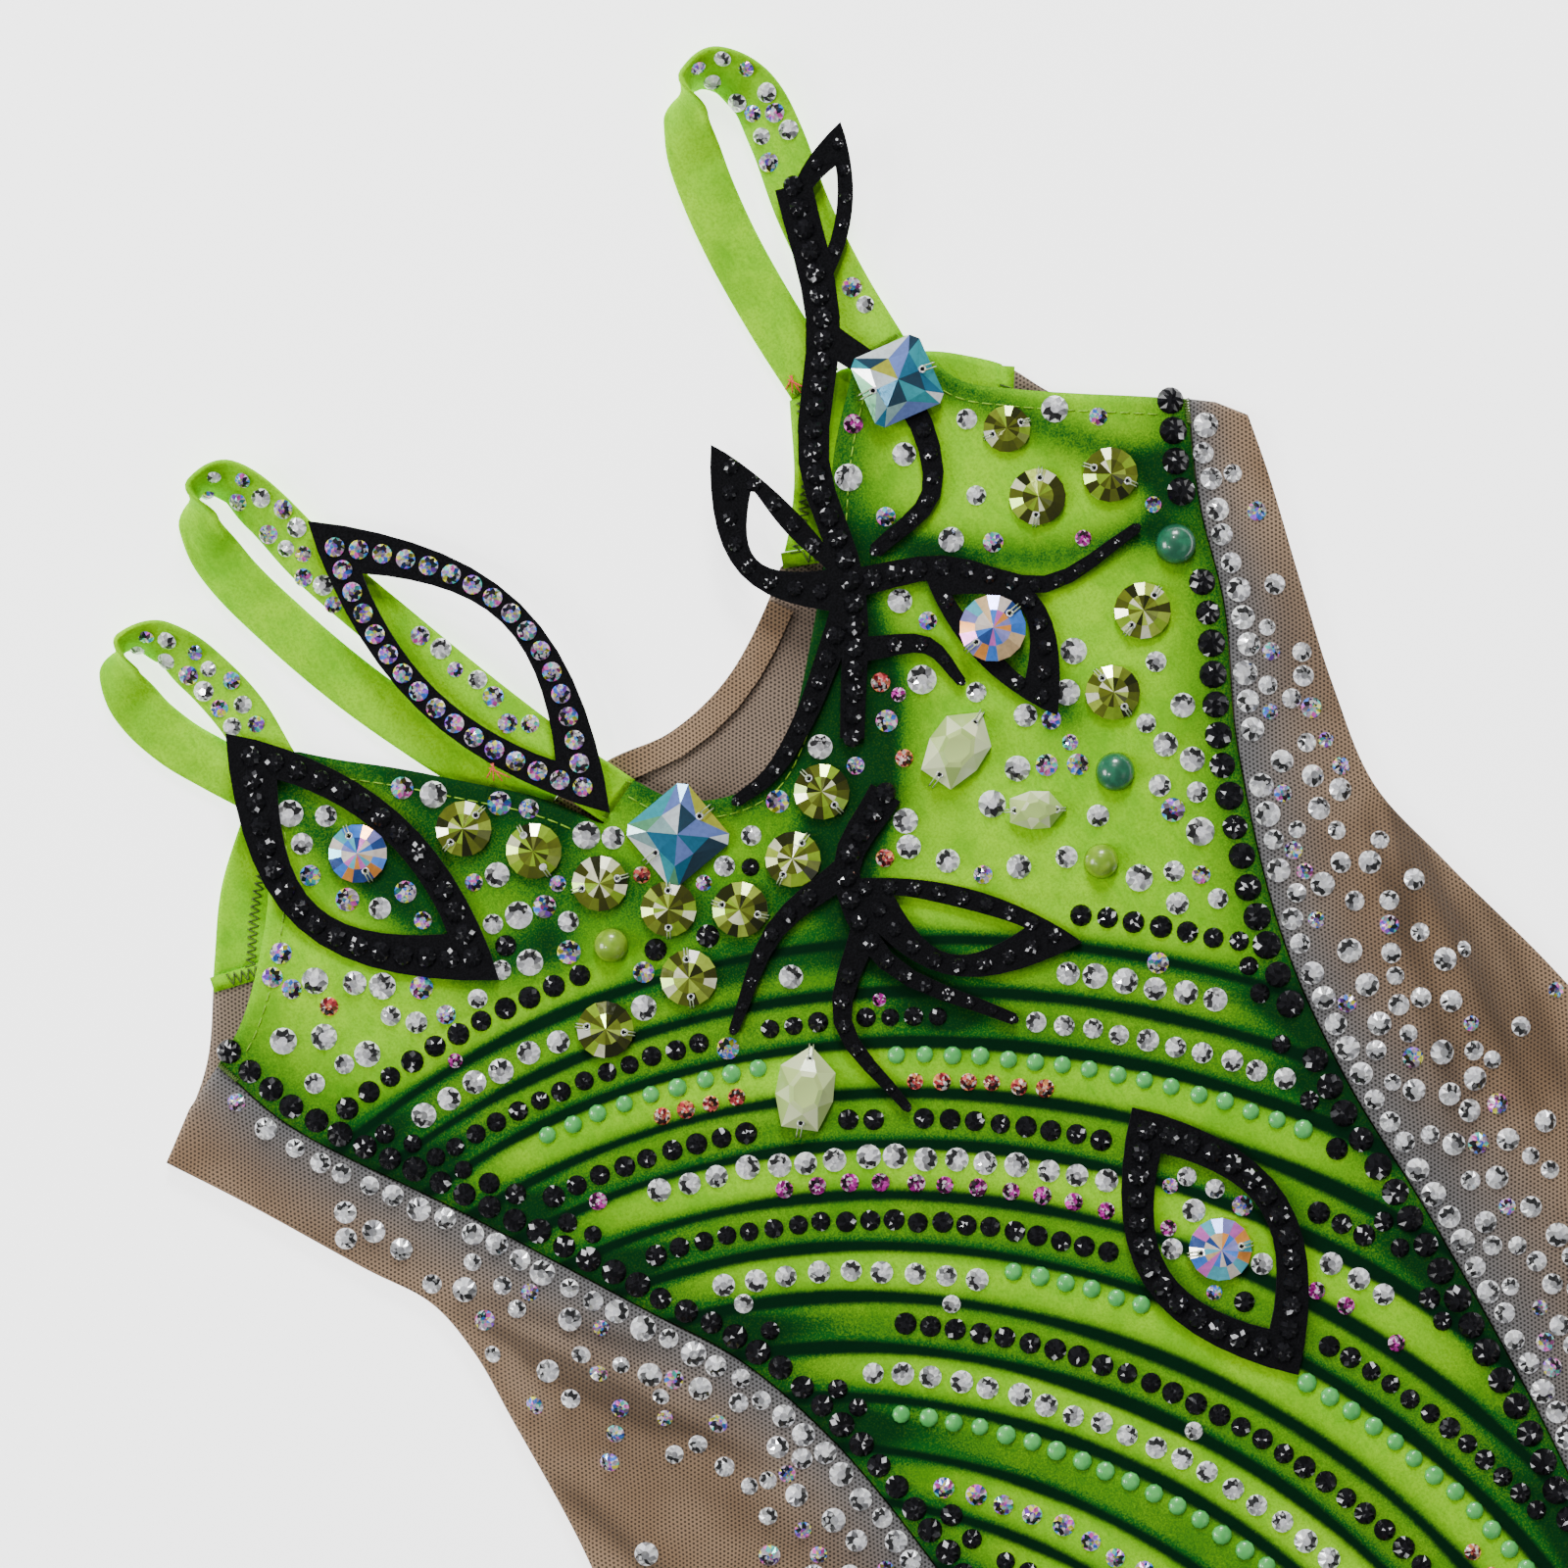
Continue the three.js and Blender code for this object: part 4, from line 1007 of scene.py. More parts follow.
def long_outline(corners=7):
    """A drawn-out polygon: its reach grows by 1 + 0.22 cos(2 angle)."""
    angle = TURN * np.arange(corners) / corners
    reach = 1 + 0.22 * np.cos(2 * angle)
    return np.stack([reach * np.cos(angle), reach * np.sin(angle)], 1)


print("outline of a large square, points:", len(square_outline()))

# %% [markdown]
# Stones come in hundreds, so many of one kind share one mesh. Every copy of a template is worked
# out at once: an array of stones by points. Each corner of a facet keeps the facet's painted
# reflection colour, a little lighter or darker, as a colour attribute that the glass reads.

# %% Many stones in one mesh
def stand(points, places, normals, radii, spins):
    """Copies of a template: spun about its own axis, stood on the normal and scaled by the radius."""
    side = np.cross(np.array([0.0, 1.0, 0.0]), normals)
    side /= np.linalg.norm(side, axis=1, keepdims=True)
    front = np.cross(normals, side)
    c, s = np.cos(spins)[:, None], np.sin(spins)[:, None]
    one, two = side * c + front * s, front * c - side * s
    flat, tall = points[None, :, :2, None], points[None, :, 2, None]
    turned = flat[:, :, 0] * one[:, None] + flat[:, :, 1] * two[:, None] + tall * normals[:, None]
    return places[:, None] + radii[:, None, None] * turned


def paint_facet_reflections(mesh, kind, count, sizes):
    """A painted reflection colour a facet, times the stone's painted light and shade, then varied by 15
    percent either way a corner.
    """
    tints = facet_colours(kind, (count, len(sizes)))
    if kind in PAINTED_SHADE_KINDS and len(sizes) == SMALL_FACETS:
        tints = tints * facet_light(count)
    per_corner = np.repeat(tints, sizes, axis=1).reshape(-1, 3)
    per_corner *= 1 + 0.3 * (rng.random((len(per_corner), 1)) - 0.5)
    layer = mesh.attributes.new("tint", "FLOAT_COLOR", "CORNER")
    layer.data.foreach_set("color", np.c_[np.clip(per_corner, 0, 1), np.ones(len(per_corner))].ravel())


def add_stones(name, template, places, normals, radii, material, kind=None, spins=None,
               smooth_faces=False, stands_for=()):
    """One mesh of a template at every place; kinds of cut glass get their colours."""
    points, faces = template
    count = len(places)
    spins = rng.random(count) * TURN if spins is None else np.array(spins)
    world = stand(points, places, normals, np.array(radii, float), spins)
    sizes = np.array([len(f) for f in faces])
    corners = np.concatenate(faces)
    stone = np.arange(count)[:, None]
    starts = np.r_[0, np.cumsum(sizes)[:-1]]
    mesh = bpy.data.meshes.new(name)
    mesh.vertices.add(count * len(points))
    mesh.vertices.foreach_set("co", to_frame(world.reshape(-1, 3)).ravel())
    mesh.loops.add(count * len(corners))
    mesh.loops.foreach_set("vertex_index", (corners + stone * len(points)).ravel())
    mesh.polygons.add(count * len(faces))
    mesh.polygons.foreach_set("loop_start", (starts + stone * len(corners)).ravel())
    mesh.update(calc_edges=True)
    if kind in GLASS_AND_REFLECTIONS:
        paint_facet_reflections(mesh, kind, count, sizes)
    return lay(mesh, material, stands_for, smooth_faces)


# %% [markdown]
# ## Large sewn-on stones
#
# Round ones come to a point in the middle and are cut in sixteen wedges. Squares are low
# pyramids. The milky ones are flat-topped with seven sides. All lie on the velvet or the black
# trim at the height under them and lean with the cloth.

# %% Large stones: across, up, radius, turn, kind, on trim
ROUND_WEDGES = large_cut(ring(16, 1, 0)[:, :2], [(1, 0, False), (1, 0.16, False), (0.55, 0.4, False)], 0.54)
SQUARE_CUT = large_cut(square_outline(), [(1, 0, False), (1, 0.12, False), (0.62, 0.36, True)], 0.56)
MILKY_CUT = large_cut(long_outline(), [(1, 0, False), (1, 0.16, False), (0.6, 0.55, True), (0.44, 0.6, True)],
                      0.0)
LARGE = {
    "stone_square_neck": (-16.5, -16, 8.84, 8, "prism", 0),
    "stone_square_shoulder": (70, 39, 8.32, -8, "prism", 1),
    "stone_chest_large": (60, -14, 6.8, 0, "fire", 1),
    "stone_frame_round": (-74, 15, 6, 0, "fire", 0),
    "stone_waist_round": (33, -146, 6.4, 0, "fire", 0),
}
NECK_ROW = [(-53, 8), (-42, -5), (-32.5, -20), (-17, -35), (0, -33), (13, -24)]
NUMBERED = [  # name, kind, and for each stone across, up, radius and turn
    ("chest", "peridot", [(82, 4, 5.8, 0), (97, 0, 5.6, 0), (88, -27, 5.8, 0), (74, -38, 5.6, 0),
                          (84, 19, 4.8, 0)]),
    ("lower", "peridot", [(-30, -42, 5.8, 0), (-50, -42, 5.8, 0)]),
    ("milky", "opal", [(41, -31, 7.4, 24), (48, -50, 5, -30), (-22, -74, 7.6, 50)]),
    ("dome", "dome", [(66, -52, 4, 0), (101, -19, 4.2, 0)]),
    ("pearl", "pearl", [(-40, -28, 3.6, 0), (54, -66, 3.6, 0)]),
    ("neck", "peridot", [(x, y, 5.7, 0) for x, y in spaced(smooth(NECK_ROW, 40), 7)]),
]
for name, kind, rows in NUMBERED:
    LARGE.update({f"stone_{name}_{i + 1}": (*row, kind, 0) for i, row in enumerate(rows)})
FINISH = {  # shape, material, slot
    "prism": (SQUARE_CUT, glass_large, "stone_aurora"), "fire": (ROUND_WEDGES, glass_large, "stone_aurora"),
    "peridot": (ROUND_WEDGES, glass_large, "stone_peridot"), "opal": (MILKY_CUT, opal_glass, "stone_milky"),
    "dome": (dome(24, 0.8), sea_green, "stone_dark_green"),
    "pearl": (dome(24, 0.9), olive_pearl, "stone_pearl"),
}
ON_TRIM = SEAM_GAP + APPLIQUE_WALL
print("large stones:", len(LARGE))


# %% Large stones on the cloth
def seat_of(x, y, trim):
    """Where a large stone stands: a gap above the velvet, or above the black trim on it."""
    return np.stack([x, y, soft_height(x, y) + VELVET_WALL + STONE_GAP + trim * ON_TRIM], -1)


def add_large_stones():
    """Round stones are spun at random, and the others by their own angle."""
    for node, (x, y, radius, turn, kind, trim) in LARGE.items():
        x, y = np.array([x]), np.array([y])
        spins = None if kind in ("fire", "peridot") else [math.radians(turn)]
        shape, material, slot = FINISH[kind]
        add_stones(node + "_cut", shape, seat_of(x, y, trim), cloth_normal(x, y), [radius], material,
                   kind, spins, kind in ("dome", "pearl"), (node,))


add_large_stones()

# %% [markdown]
# ## The black trim
#
# Leaf frames and curling tendrils of black felt-like cloth are stitched over the velvet. The cut
# pieces come from the frame, and their middle lines are drawn again here, because stones sit on
# them and keep clear of them. Each side of a leaf swells by half the width times sin(pi t)^0.9,
# and a bend pushes both sides the same way.

# %% Middle lines of the trim
TENDRILS = [  # points, width at the root, width at the tip
    ([(73, 84), (64, 58), (47, 34), (40, 8), (24, -18)], 7.6, 5),
    ([(62, 56), (70, 34), (64, 16), (48, 12)], 6, 3), ([(40, 9), (58, 2), (74, -12), (96, -12)], 6, 2.2),
    ([(36, -4), (47, -10), (49, -20)], 5, 2), ([(24, -31), (9, -40), (6, -60), (22, -84)], 7, 2.4),
    ([(10, -40), (-10, -43), (-28, -56)], 6, 2), ([(6, -52), (-8, -66), (-6, -88)], 5.6, 2),
    ([(40, 8), (29, -1), (17, -10), (6, -15.5), (-3, -16.5)], 6, 2.4),
]
LEAVES = [  # from, to, half width, band, bend
    ((-47, 78), (-26, -5), 15, 5.4, 3), ((-84, 50), (-63, -22), 15.5, 5.8, -4),
    ((33, -112), (33, -176), 17, 5.8, 0), ((55, 6), (62, -36), 9, 4.2, 4),
    ((31, 48), (40, 2), 8.5, 4.4, -5), ((88, 90), (66, 62), 6.4, 3.2, -2),
    ((6, -41), (42, -78), 9, 4.2, -4),
]


def leaf_side(start, end, half, bend, sign, shrink, count=50):
    """One side of a leaf, drawn in from its outline by shrink."""
    start, end = np.array(start, float), np.array(end, float)
    length = np.linalg.norm(end - start)
    along = (end - start) / length
    aside = np.array([-along[1], along[0]])
    inset = shrink * length / (2 * half)
    t = np.linspace(0, 1, count)
    wave = np.sin(np.pi * t)
    reach = sign * (half - shrink) * np.abs(wave) ** 0.9 + bend * wave
    return start + (inset + t * (length - 2 * inset))[:, None] * along + reach[:, None] * aside


def trim_bands():
    """Every band of the trim as its middle line and its half width at each point."""
    bands = []
    for points, root, tip in TENDRILS:
        line = smooth(points, 14)
        bands.append((line, np.linspace(root, tip, len(line)) / 2))
    for start, end, half, band, bend in LEAVES:
        for sign in (-1, 1):
            line = leaf_side(start, end, half, bend, sign, band / 2)
            bands.append((line, np.full(len(line), band / 2)))
    return bands


BANDS = trim_bands()
TRIM_POINTS = np.vstack([line for line, _ in BANDS])
TRIM_HALF = np.concatenate([half for _, half in BANDS])
print("bands of trim:", len(BANDS))


# %% Felt-like black cloth on the CAD's own trim
def trim_material():
    """Near black with a fine fuzz."""
    material, shader, start = new_material("black trim", Sheen_Weight=0.03, Sheen_Roughness=0.5,
                                           Specular_IOR_Level=0.08)
    fuzz = noise(start, 2600, 3, 0.65)
    color = fuzz.ramp(0.3, 0.8).mix((0.0015, 0.0015, 0.002), (0.009, 0.009, 0.011))
    return finish_shader(material, shader, color, rough=0.85 + fuzz * 0.1, bump=fuzz, strength=0.6,
                         distance=0.0004)


TRIMS = ["applique_strap_frame", "applique_shoulder_frame", "applique_waist_frame",
         "applique_neck_scroll", "applique_chest_scroll"]
finishes = {"back_neck_binding": power_mesh, **dict.fromkeys(TRIMS, trim_material())}
for node, finish in finishes.items():
    for trim_slot in bpy.data.objects[node].material_slots:
        trim_slot.material = finish
print("trim dressed:", len(finishes))

# %% [markdown]
# ## Rows and drifts of small stones
#
# A field keeps every stone that is already down, so that no two overlap. Rows come first, then
# drifts of loose stones take the room that is left. The generator is seeded, so the same stones
# fall in the same places each time.

# %% A field of stones
def off_trim(places):
    """How far each place is from the edge of the nearest band of trim, below zero on the band."""
    return (np.hypot(*(places[:, None] - TRIM_POINTS[None]).transpose(2, 0, 1)) - TRIM_HALF).min(1)


class Field:
    """Places taken by stones, in millimetres across and up."""

    def __init__(self):
        self.at = np.zeros((0, 2))
        self.size = np.zeros(0)
        self.kinds = {}

    def free(self, place, radius, gap):
        """True where the distance to every stone passes both radii and the gap."""
        return bool(np.all(np.hypot(*(self.at - place).T) > self.size + radius + gap))

    def take(self, place, radius):
        """Marks a place as filled."""
        self.at = np.vstack([self.at, place])
        self.size = np.append(self.size, radius)

    def add(self, kind, places, radii, gap=0.25, on_trim=False, tests=()):
        """Keeps what is free, off the trim (or on it) and passes every test."""
        places, radii = np.atleast_2d(places), np.broadcast_to(radii, len(places)).astype(float)
        good = np.ones(len(places), bool)
        for test in tests:
            good &= test(places)
        if not on_trim:
            good &= off_trim(places) > radii + 0.2
        for place, radius in zip(places[good], radii[good]):
            if self.free(place, radius, gap):
                self.take(place, radius)
                self.kinds.setdefault(kind, []).append((*place, radius, float(on_trim)))


# %% Places on the cloth
def inside(outline):
    """A test for places within a closed outline: a ray to the right crosses its edges an odd number
    of times."""
    a = np.asarray(outline)
    b = np.roll(a, -1, 0)

    def test(places):
        """True for each place inside."""
        x, y = places[:, 0, None], places[:, 1, None]
        spans = (a[:, 1] > y) != (b[:, 1] > y)
        rise = np.where(b[:, 1] == a[:, 1], 1e-9, b[:, 1] - a[:, 1])
        cross = x < (b[:, 0] - a[:, 0]) * (y - a[:, 1]) / rise + a[:, 0]
        return (spans & cross).sum(1) % 2 == 1
    return test


def steps_along(line, pitch, jitter=0.0):
    """Places at even steps of length along a line, each moved a little where there is a jitter."""
    places = spaced(line, max(2, int(length_of(line) / pitch)))
    return places + jitter * rng.standard_normal(places.shape) if jitter else places


def sizes(count, middle, spread=0.1):
    """Radii round a middle one, a share larger or smaller."""
    return middle * (1 + spread * rng.uniform(-1, 1, count))


# %% The large stones come first
field = Field()
for x, y, radius, *_ in LARGE.values():
    field.take((x, y), radius + 0.2)

on_front = inside(velvet_outline)
inner_edge = inside(np.vstack([offset(velvet_top, 2.6), offset(velvet_right, 2.6),
                               velvet_bottom[::-1] + (0, 4), offset(velvet_left, -2.6)[::-1]]))
print("places taken by large stones:", len(field.size))

# %% Jet stones along the trim and along the seams
for number, (line, half) in enumerate(BANDS):
    places = steps_along(line, 4.4)
    half_there = np.interp(np.linspace(0, 1, len(places)), np.linspace(0, 1, len(half)), half)
    on_strap_frame = number - len(TENDRILS) in (0, 1)
    field.add("aurora" if on_strap_frame else "jet", places, np.clip(half_there * 0.74, 0.8, 2.1),
              gap=-0.1, on_trim=True)
SEAM_ROWS = [  # seam, side, pitch, radius, height where a second row starts
    (seam_left, -1, 5.5, 2.45, -30), (seam_right, 1, 6.1, 2.75, -60),
]
for seam, sign, pitch, radius, second_from in SEAM_ROWS:
    places = steps_along(offset(seam, 3.5 * sign), pitch, 0.12)
    field.add("jet", places, sizes(len(places), radius, 0.08))
    places = below(steps_along(offset(seam, 8.0 * sign), 5.7, 0.35), second_from)
    field.add("jet", places, sizes(len(places), 2.1, 0.12))
print("jet stones so far:", len(field.kinds["jet"]))

# %% Rows along the sprayed waves
RUN_ANGLES = np.linspace(math.radians(-60), math.radians(150), 400)
ROWS = [  # wave, kind, radius, pitch, first and last share of the wave, loose
    (14.62, "jet", 2.25, 5.2, 0.0, 1.0, 0.1), (13.5, "clear", 2.5, 6.0, 0.0, 1.0, 0.3),
    (12.5, "jet", 2.0, 4.8, 0.0, 0.62, 0.1), (12.5, "clear", 2.2, 5.6, 0.64, 1.0, 0.2),
    (11.75, "mint", 1.95, 5.4, 0.1, 0.9, 0.1), (11.25, "rose", 1.8, 5.0, 0.18, 0.6, 0.15),
    (10.5, "jet", 2.2, 5.0, 0.0, 1.0, 0.1), (9.75, "clear", 2.4, 6.0, 0.05, 0.5, 0.3),
    (9.5, "aurora", 2.1, 5.8, 0.52, 1.0, 0.3), (9.25, "fuchsia", 1.8, 6.4, 0.1, 0.42, 0.2),
    (8.5, "jet", 2.1, 4.8, 0.0, 0.8, 0.1), (7.75, "mint", 2.0, 5.2, 0.2, 1.0, 0.1),
    (7.5, "clear", 2.2, 6.4, 0.0, 0.18, 0.3), (7.25, "rose", 1.8, 5.6, 0.5, 0.9, 0.2),
    (6.5, "jet", 2.2, 5.0, 0.1, 1.0, 0.1), (5.5, "clear", 2.3, 5.8, 0.0, 1.0, 0.3),
    (4.75, "mint", 2.0, 5.2, 0.0, 0.7, 0.1), (4.5, "jet", 2.0, 4.9, 0.2, 1.0, 0.1),
    (3.5, "aurora", 2.1, 6.0, 0.0, 1.0, 0.4), (2.5, "jet", 2.1, 5.0, 0.0, 1.0, 0.1),
    (1.5, "mint", 2.0, 5.4, 0.0, 1.0, 0.1), (0.5, "clear", 2.2, 5.8, 0.0, 1.0, 0.3),
]


def wave_run(count):
    """The part of a wave that lies on the velvet, as a line from left to right."""
    line = wave_line(count, RUN_ANGLES)
    return line[inner_edge(line)][::-1]


for count, kind, radius, pitch, first, last, loose in ROWS:
    run = wave_run(count)
    if len(run) > 3:
        places = steps_along(run, pitch, loose)
        share = np.arange(len(places)) / len(places)
        chosen = places[(share >= first) & (share <= last)]
        field.add(kind, chosen, sizes(len(chosen), radius, 0.07), tests=(inner_edge,))
print({kind: len(rows) for kind, rows in field.kinds.items()})


# %% [markdown]
# ## Drifts of loose stones
#
# On the mesh the stones crowd along the seam and thin out over a few centimetres. Round the large
# stones and on the right of the chest they fill what room is left. More candidates are thrown
# than there is room for, and the field keeps those that land clear of the others.

# %% Drifts
def drift(count, low, high):
    """Places spread evenly at random over a box."""
    return low + rng.random((count, 2)) * (np.array(high) - low)


def mixed(places, kinds, sizes_of, **options):
    """Gives each place one kind by its share."""
    names = list(kinds)
    share = np.cumsum([kinds[n] for n in names])
    pick = np.searchsorted(share / share[-1], rng.random(len(places)))
    for i, name in enumerate(names):
        mine = places[pick == i]
        if len(mine):
            field.add(name, mine, sizes(len(mine), sizes_of[name], 0.2), **options)


STRAY = 0.012
SIZE = {"clear": 2.5, "aurora": 2.05, "jet": 2.0, "rose": 1.75, "fuchsia": 1.7, "mint": 1.9}


def mesh_outline(side, seam, leg, sign):
    """The edges of a side panel, drawn in by a stone's radius."""
    return np.vstack([offset(side, -2.6 * sign), above(leg, seam[-1, 1]), offset(seam, 2.4 * sign)[::-1]])


def add_mesh_drift(side, seam, leg, sign, reach, low, high):
    """Candidates over the panel's box, kept with the chance 1.3 exp(-(distance / reach)^2), and a few
    strays. The reach grows from its first number at the armhole to its second one at the waist."""
    places = drift(4200, low, high)
    test = inside(mesh_outline(side, seam, leg, sign))
    from_top = near_line(places[:, 0], places[:, 1], np.array([side[0], seam[0]]))
    places = places[test(places) & (from_top > 3.4)]
    away = near_line(places[:, 0], places[:, 1], seam)
    wander = reach[0] + (reach[1] - reach[0]) * ramp(-places[:, 1] / 150)
    wander = wander * (1 + 0.2 * np.sin(places[:, 1] / 19.0))
    crowd = 1.3 * np.exp(-(away / wander) ** 2)
    places = places[rng.random(len(places)) < crowd + STRAY]
    mixed(places, {"clear": 5, "aurora": 4, "rose": 0.15}, {**SIZE, "clear": 2.15, "aurora": 1.9}, gap=0.3)


# %% Stones on the mesh
for seam, way, top in ((seam_left, 1, -24), (seam_right, -1, 2)):
    places = steps_along(offset(seam, 3.4 * way), 5.6, 0.3)
    places = places[places[:, 1] < top]
    field.add("clear", places, sizes(len(places), 2.3, 0.15), gap=0.2)
add_mesh_drift(side_left, seam_left, leg_left, 1, (5.5, 17), (-142, -330), (-45, -4))
add_mesh_drift(side_right, seam_right, leg_right, -1, (7, 25), (50, -330), (140, 6))
print("stones so far:", len(field.size))

# %% Loose stones on the velvet
# Right of the chest, denser near the seam
places = drift(1900, (24, -120), (110, 44))
places = places[inner_edge(places)]
above_waves = wave_count(places[:, 0], places[:, 1]) > 15.0
by_seam = np.exp(-(near_line(places[:, 0], places[:, 1], seam_right) / 16) ** 2)
thin = rng.random(len(places)) < 0.22 + 0.5 * by_seam
mixed(places[above_waves & thin], {"clear": 5, "aurora": 4.5, "fuchsia": 0.7, "rose": 0.6}, SIZE, gap=0.5)

# Left of the chest and along the neck, denser near the large stones
places = drift(5200, (-120, -100), (60, 44))
places = places[inner_edge(places)]
near_large = np.min([np.hypot(*(places - (x, y)).T) - r for x, y, r, *_ in LARGE.values()], 0)
left_part = (places[:, 0] < 24) & (wave_count(places[:, 0], places[:, 1]) > 14.9)
keep = left_part & (rng.random(len(places)) < 0.4 + 0.6 * np.exp(-(near_large / 9) ** 2))
mixed(places[keep], {"clear": 4.5, "aurora": 5, "jet": 1.2, "mint": 0.4, "rose": 0.7}, SIZE, gap=0.2)

# A few between the rows
places = drift(2600, (-120, -330), (110, 30))
places = places[inner_edge(places)]
loose = rng.random(len(places)) < 0.10
mixed(places[loose], {"clear": 3, "aurora": 2, "rose": 0.9, "fuchsia": 0.5}, {**SIZE, "clear": 2.1}, gap=0.6)
print({kind: len(rows) for kind, rows in field.kinds.items()})

# %% [markdown]
# Inside the three large leaf frames a ring of paler stones follows the band. It runs along the
# same leaf formula, drawn in by the band and a stone.

# %% Inside the leaf frames
def add_frame_rings():
    """Both sides of each large leaf, where the front lies under it."""
    for start, end, half, band, bend in LEAVES[:3]:
        for sign in (-1, 1):
            line = leaf_side(start, end, half, bend, sign, band + 2.6)
            places = steps_along(line[3:-3], 4.9, 0.1)
            mixed(places[on_front(places)], {"aurora": 3, "clear": 2}, {"aurora": 1.9, "clear": 2.0}, gap=0.1)


add_frame_rings()
print("stones with the rings:", len(field.size))

# %% [markdown]
# The field holds only places. Now each kind becomes one mesh that stands on the cloth under it:
# the mesh, the velvet, or the black trim on the velvet.

# %% Meshes of the small stones
SMALL_FINISH = {**dict.fromkeys(PAINTED_SHADE_KINDS, (glass, "stone_aurora")),
                "jet": (jet_glass, "applique_black"), "mint": (mint, "stone_pearl")}
MESH_EDGES = [(side_left, leg_left, seam_left), (side_right, leg_right, seam_right)]
on_mesh_left, on_mesh_right = (inside(np.vstack([side, above(leg, seam[-1, 1]), seam[::-1]]))
                               for side, leg, seam in MESH_EDGES)


def add_small_stones():
    """One mesh for each kind, at the height of the wall under each stone."""
    for kind, rows in field.kinds.items():
        x, y, radii, trim = np.array(rows).T
        flat = np.stack([x, y], 1)
        wall = np.where(on_mesh_left(flat) | on_mesh_right(flat), MESH_WALL, VELVET_WALL)
        wall = np.where(trim > 0, VELVET_WALL + ON_TRIM, wall)
        places = np.stack([x, y, soft_height(x, y) + wall], 1)
        material, slot = SMALL_FINISH[kind]
        template = dome(10, 0.55) if kind == "mint" else small_cut()
        add_stones("small_stones_" + kind, template, places, cloth_normal(x, y), radii, material,
                   kind, smooth_faces=kind == "mint")
        print(kind, len(rows), "stones,", len(rows) * len(template[1]), "faces")


add_small_stones()

# %% [markdown]
# The straps carry stones on the side that shows, down to the fold. A strap is a path in space, so
# its stones are placed by their length along it and their share of its width.

# %% Stones on the straps
def add_strap_stones():
    """Two loose rows and a thin one between them, on each strap's outer face as far as the fold."""
    places, normals, radii = [], [], []
    for width, route in STRAPS.values():
        middle, wide, face, _ = strap_frame(width, route)
        up_side = face[:, 2] > 0.25
        run = np.r_[0, np.cumsum(np.linalg.norm(np.diff(middle, axis=0), axis=1))]
        for side in (-0.28, 0.22, 0.05):
            at = np.arange(5.0, run[up_side][-1], 4.9 if abs(side) > 0.1 else 9.0)
            at = at + rng.uniform(-0.7, 0.7, len(at)) + (2.4 if side > 0 else 0)
            step = np.searchsorted(run, np.clip(at, 0, run[-1] - 1))
            step = step[up_side[step]]
            aside = width * (side + rng.uniform(-0.09, 0.09, len(step)))[:, None]
            places.append(middle[step] + wide[step] * aside + face[step] * (STRAP_WALL / 2 - 0.05))
            normals.append(face[step])
            radii.append(sizes(len(step), 1.9, 0.15))
    places, normals, radii = np.vstack(places), np.vstack(normals), np.concatenate(radii)
    good = off_trim(places[:, :2]) > radii + 0.3
    for i in np.flatnonzero(good):
        gaps = np.linalg.norm(places[:i] - places[i], axis=1) - radii[:i] - radii[i]
        good[i] = bool(np.all(gaps[good[:i]] > 0.1))
    half = np.arange(len(places)) % 2 == 0
    for kind, chosen in (("aurora", good & half), ("clear", good & ~half)):
        add_stones("strap_stones_" + kind, small_cut(), places[chosen], normals[chosen], radii[chosen],
                   glass, kind)
    print("strap stones:", int(good.sum()))


add_strap_stones()

# %% [markdown]
# ## Threads
#
# Thread is a thin tube along a path. Overlock is a zigzag that wraps a raw edge, a hem is a row
# of short straight stitches, and each large stone is held by clear thread through two holes.

# %% Tubes
def add_threads(name, paths, radius, material, sides=5):
    """Tubes along paths of equal counts: each ring stands square to the path's own direction."""
    paths = np.asarray(paths, float)
    count, steps = paths.shape[:2]
    along = np.gradient(paths, axis=1)
    along /= np.linalg.norm(along, axis=2, keepdims=True) + 1e-9
    helper = np.where(np.abs(along[..., 2:]) > 0.9, [[[1.0, 0, 0]]], [[[0, 0, 1.0]]])
    side = np.cross(along, helper)
    side /= np.linalg.norm(side, axis=2, keepdims=True) + 1e-9
    front = np.cross(side, along)
    turn = TURN * np.arange(sides) / sides
    points = (paths[:, :, None] + radius * (np.cos(turn)[:, None] * side[:, :, None]
                                            + np.sin(turn)[:, None] * front[:, :, None]))
    tube = grid_faces(steps, sides, closed=True)
    start = np.arange(count)[:, None, None] * steps * sides
    tubes = (tube[None] + start).reshape(-1, 4)
    first = (np.arange(sides)[None, ::-1] + start[:, :, 0])
    last = (np.arange(sides)[None] + start[:, :, 0] + (steps - 1) * sides)
    faces = tubes[:, ::-1].tolist() + first[:, ::-1].tolist() + last[:, ::-1].tolist()
    mesh = bpy.data.meshes.new(name)
    mesh.from_pydata(to_frame(points.reshape(-1, 3)), [], faces)
    lay(mesh, material)


# %% Threads and stitches
def thread_material(name, color, rough=0.55):
    """A colour and its own shade in fine turns."""
    material, shader, start = new_material(name)
    twist = noise(start, 3000, 2, 0.5)
    shade = tuple(0.6 * c for c in color)
    return finish_shader(material, shader, twist.ramp(0.35, 0.65).mix(shade, color),
                         rough=rough + twist * 0.1)


lime_thread = thread_material("lime thread", (0.3, 0.62, 0.02))
olive_thread = thread_material("olive thread", (0.09, 0.17, 0.015))
red_thread = thread_material("red thread", (0.9, 0.12, 0.06))
clear_thread = thread_material("clear thread", (0.55, 0.66, 0.4), rough=0.15)


HEM = 3.6  # from the edge to its stitches


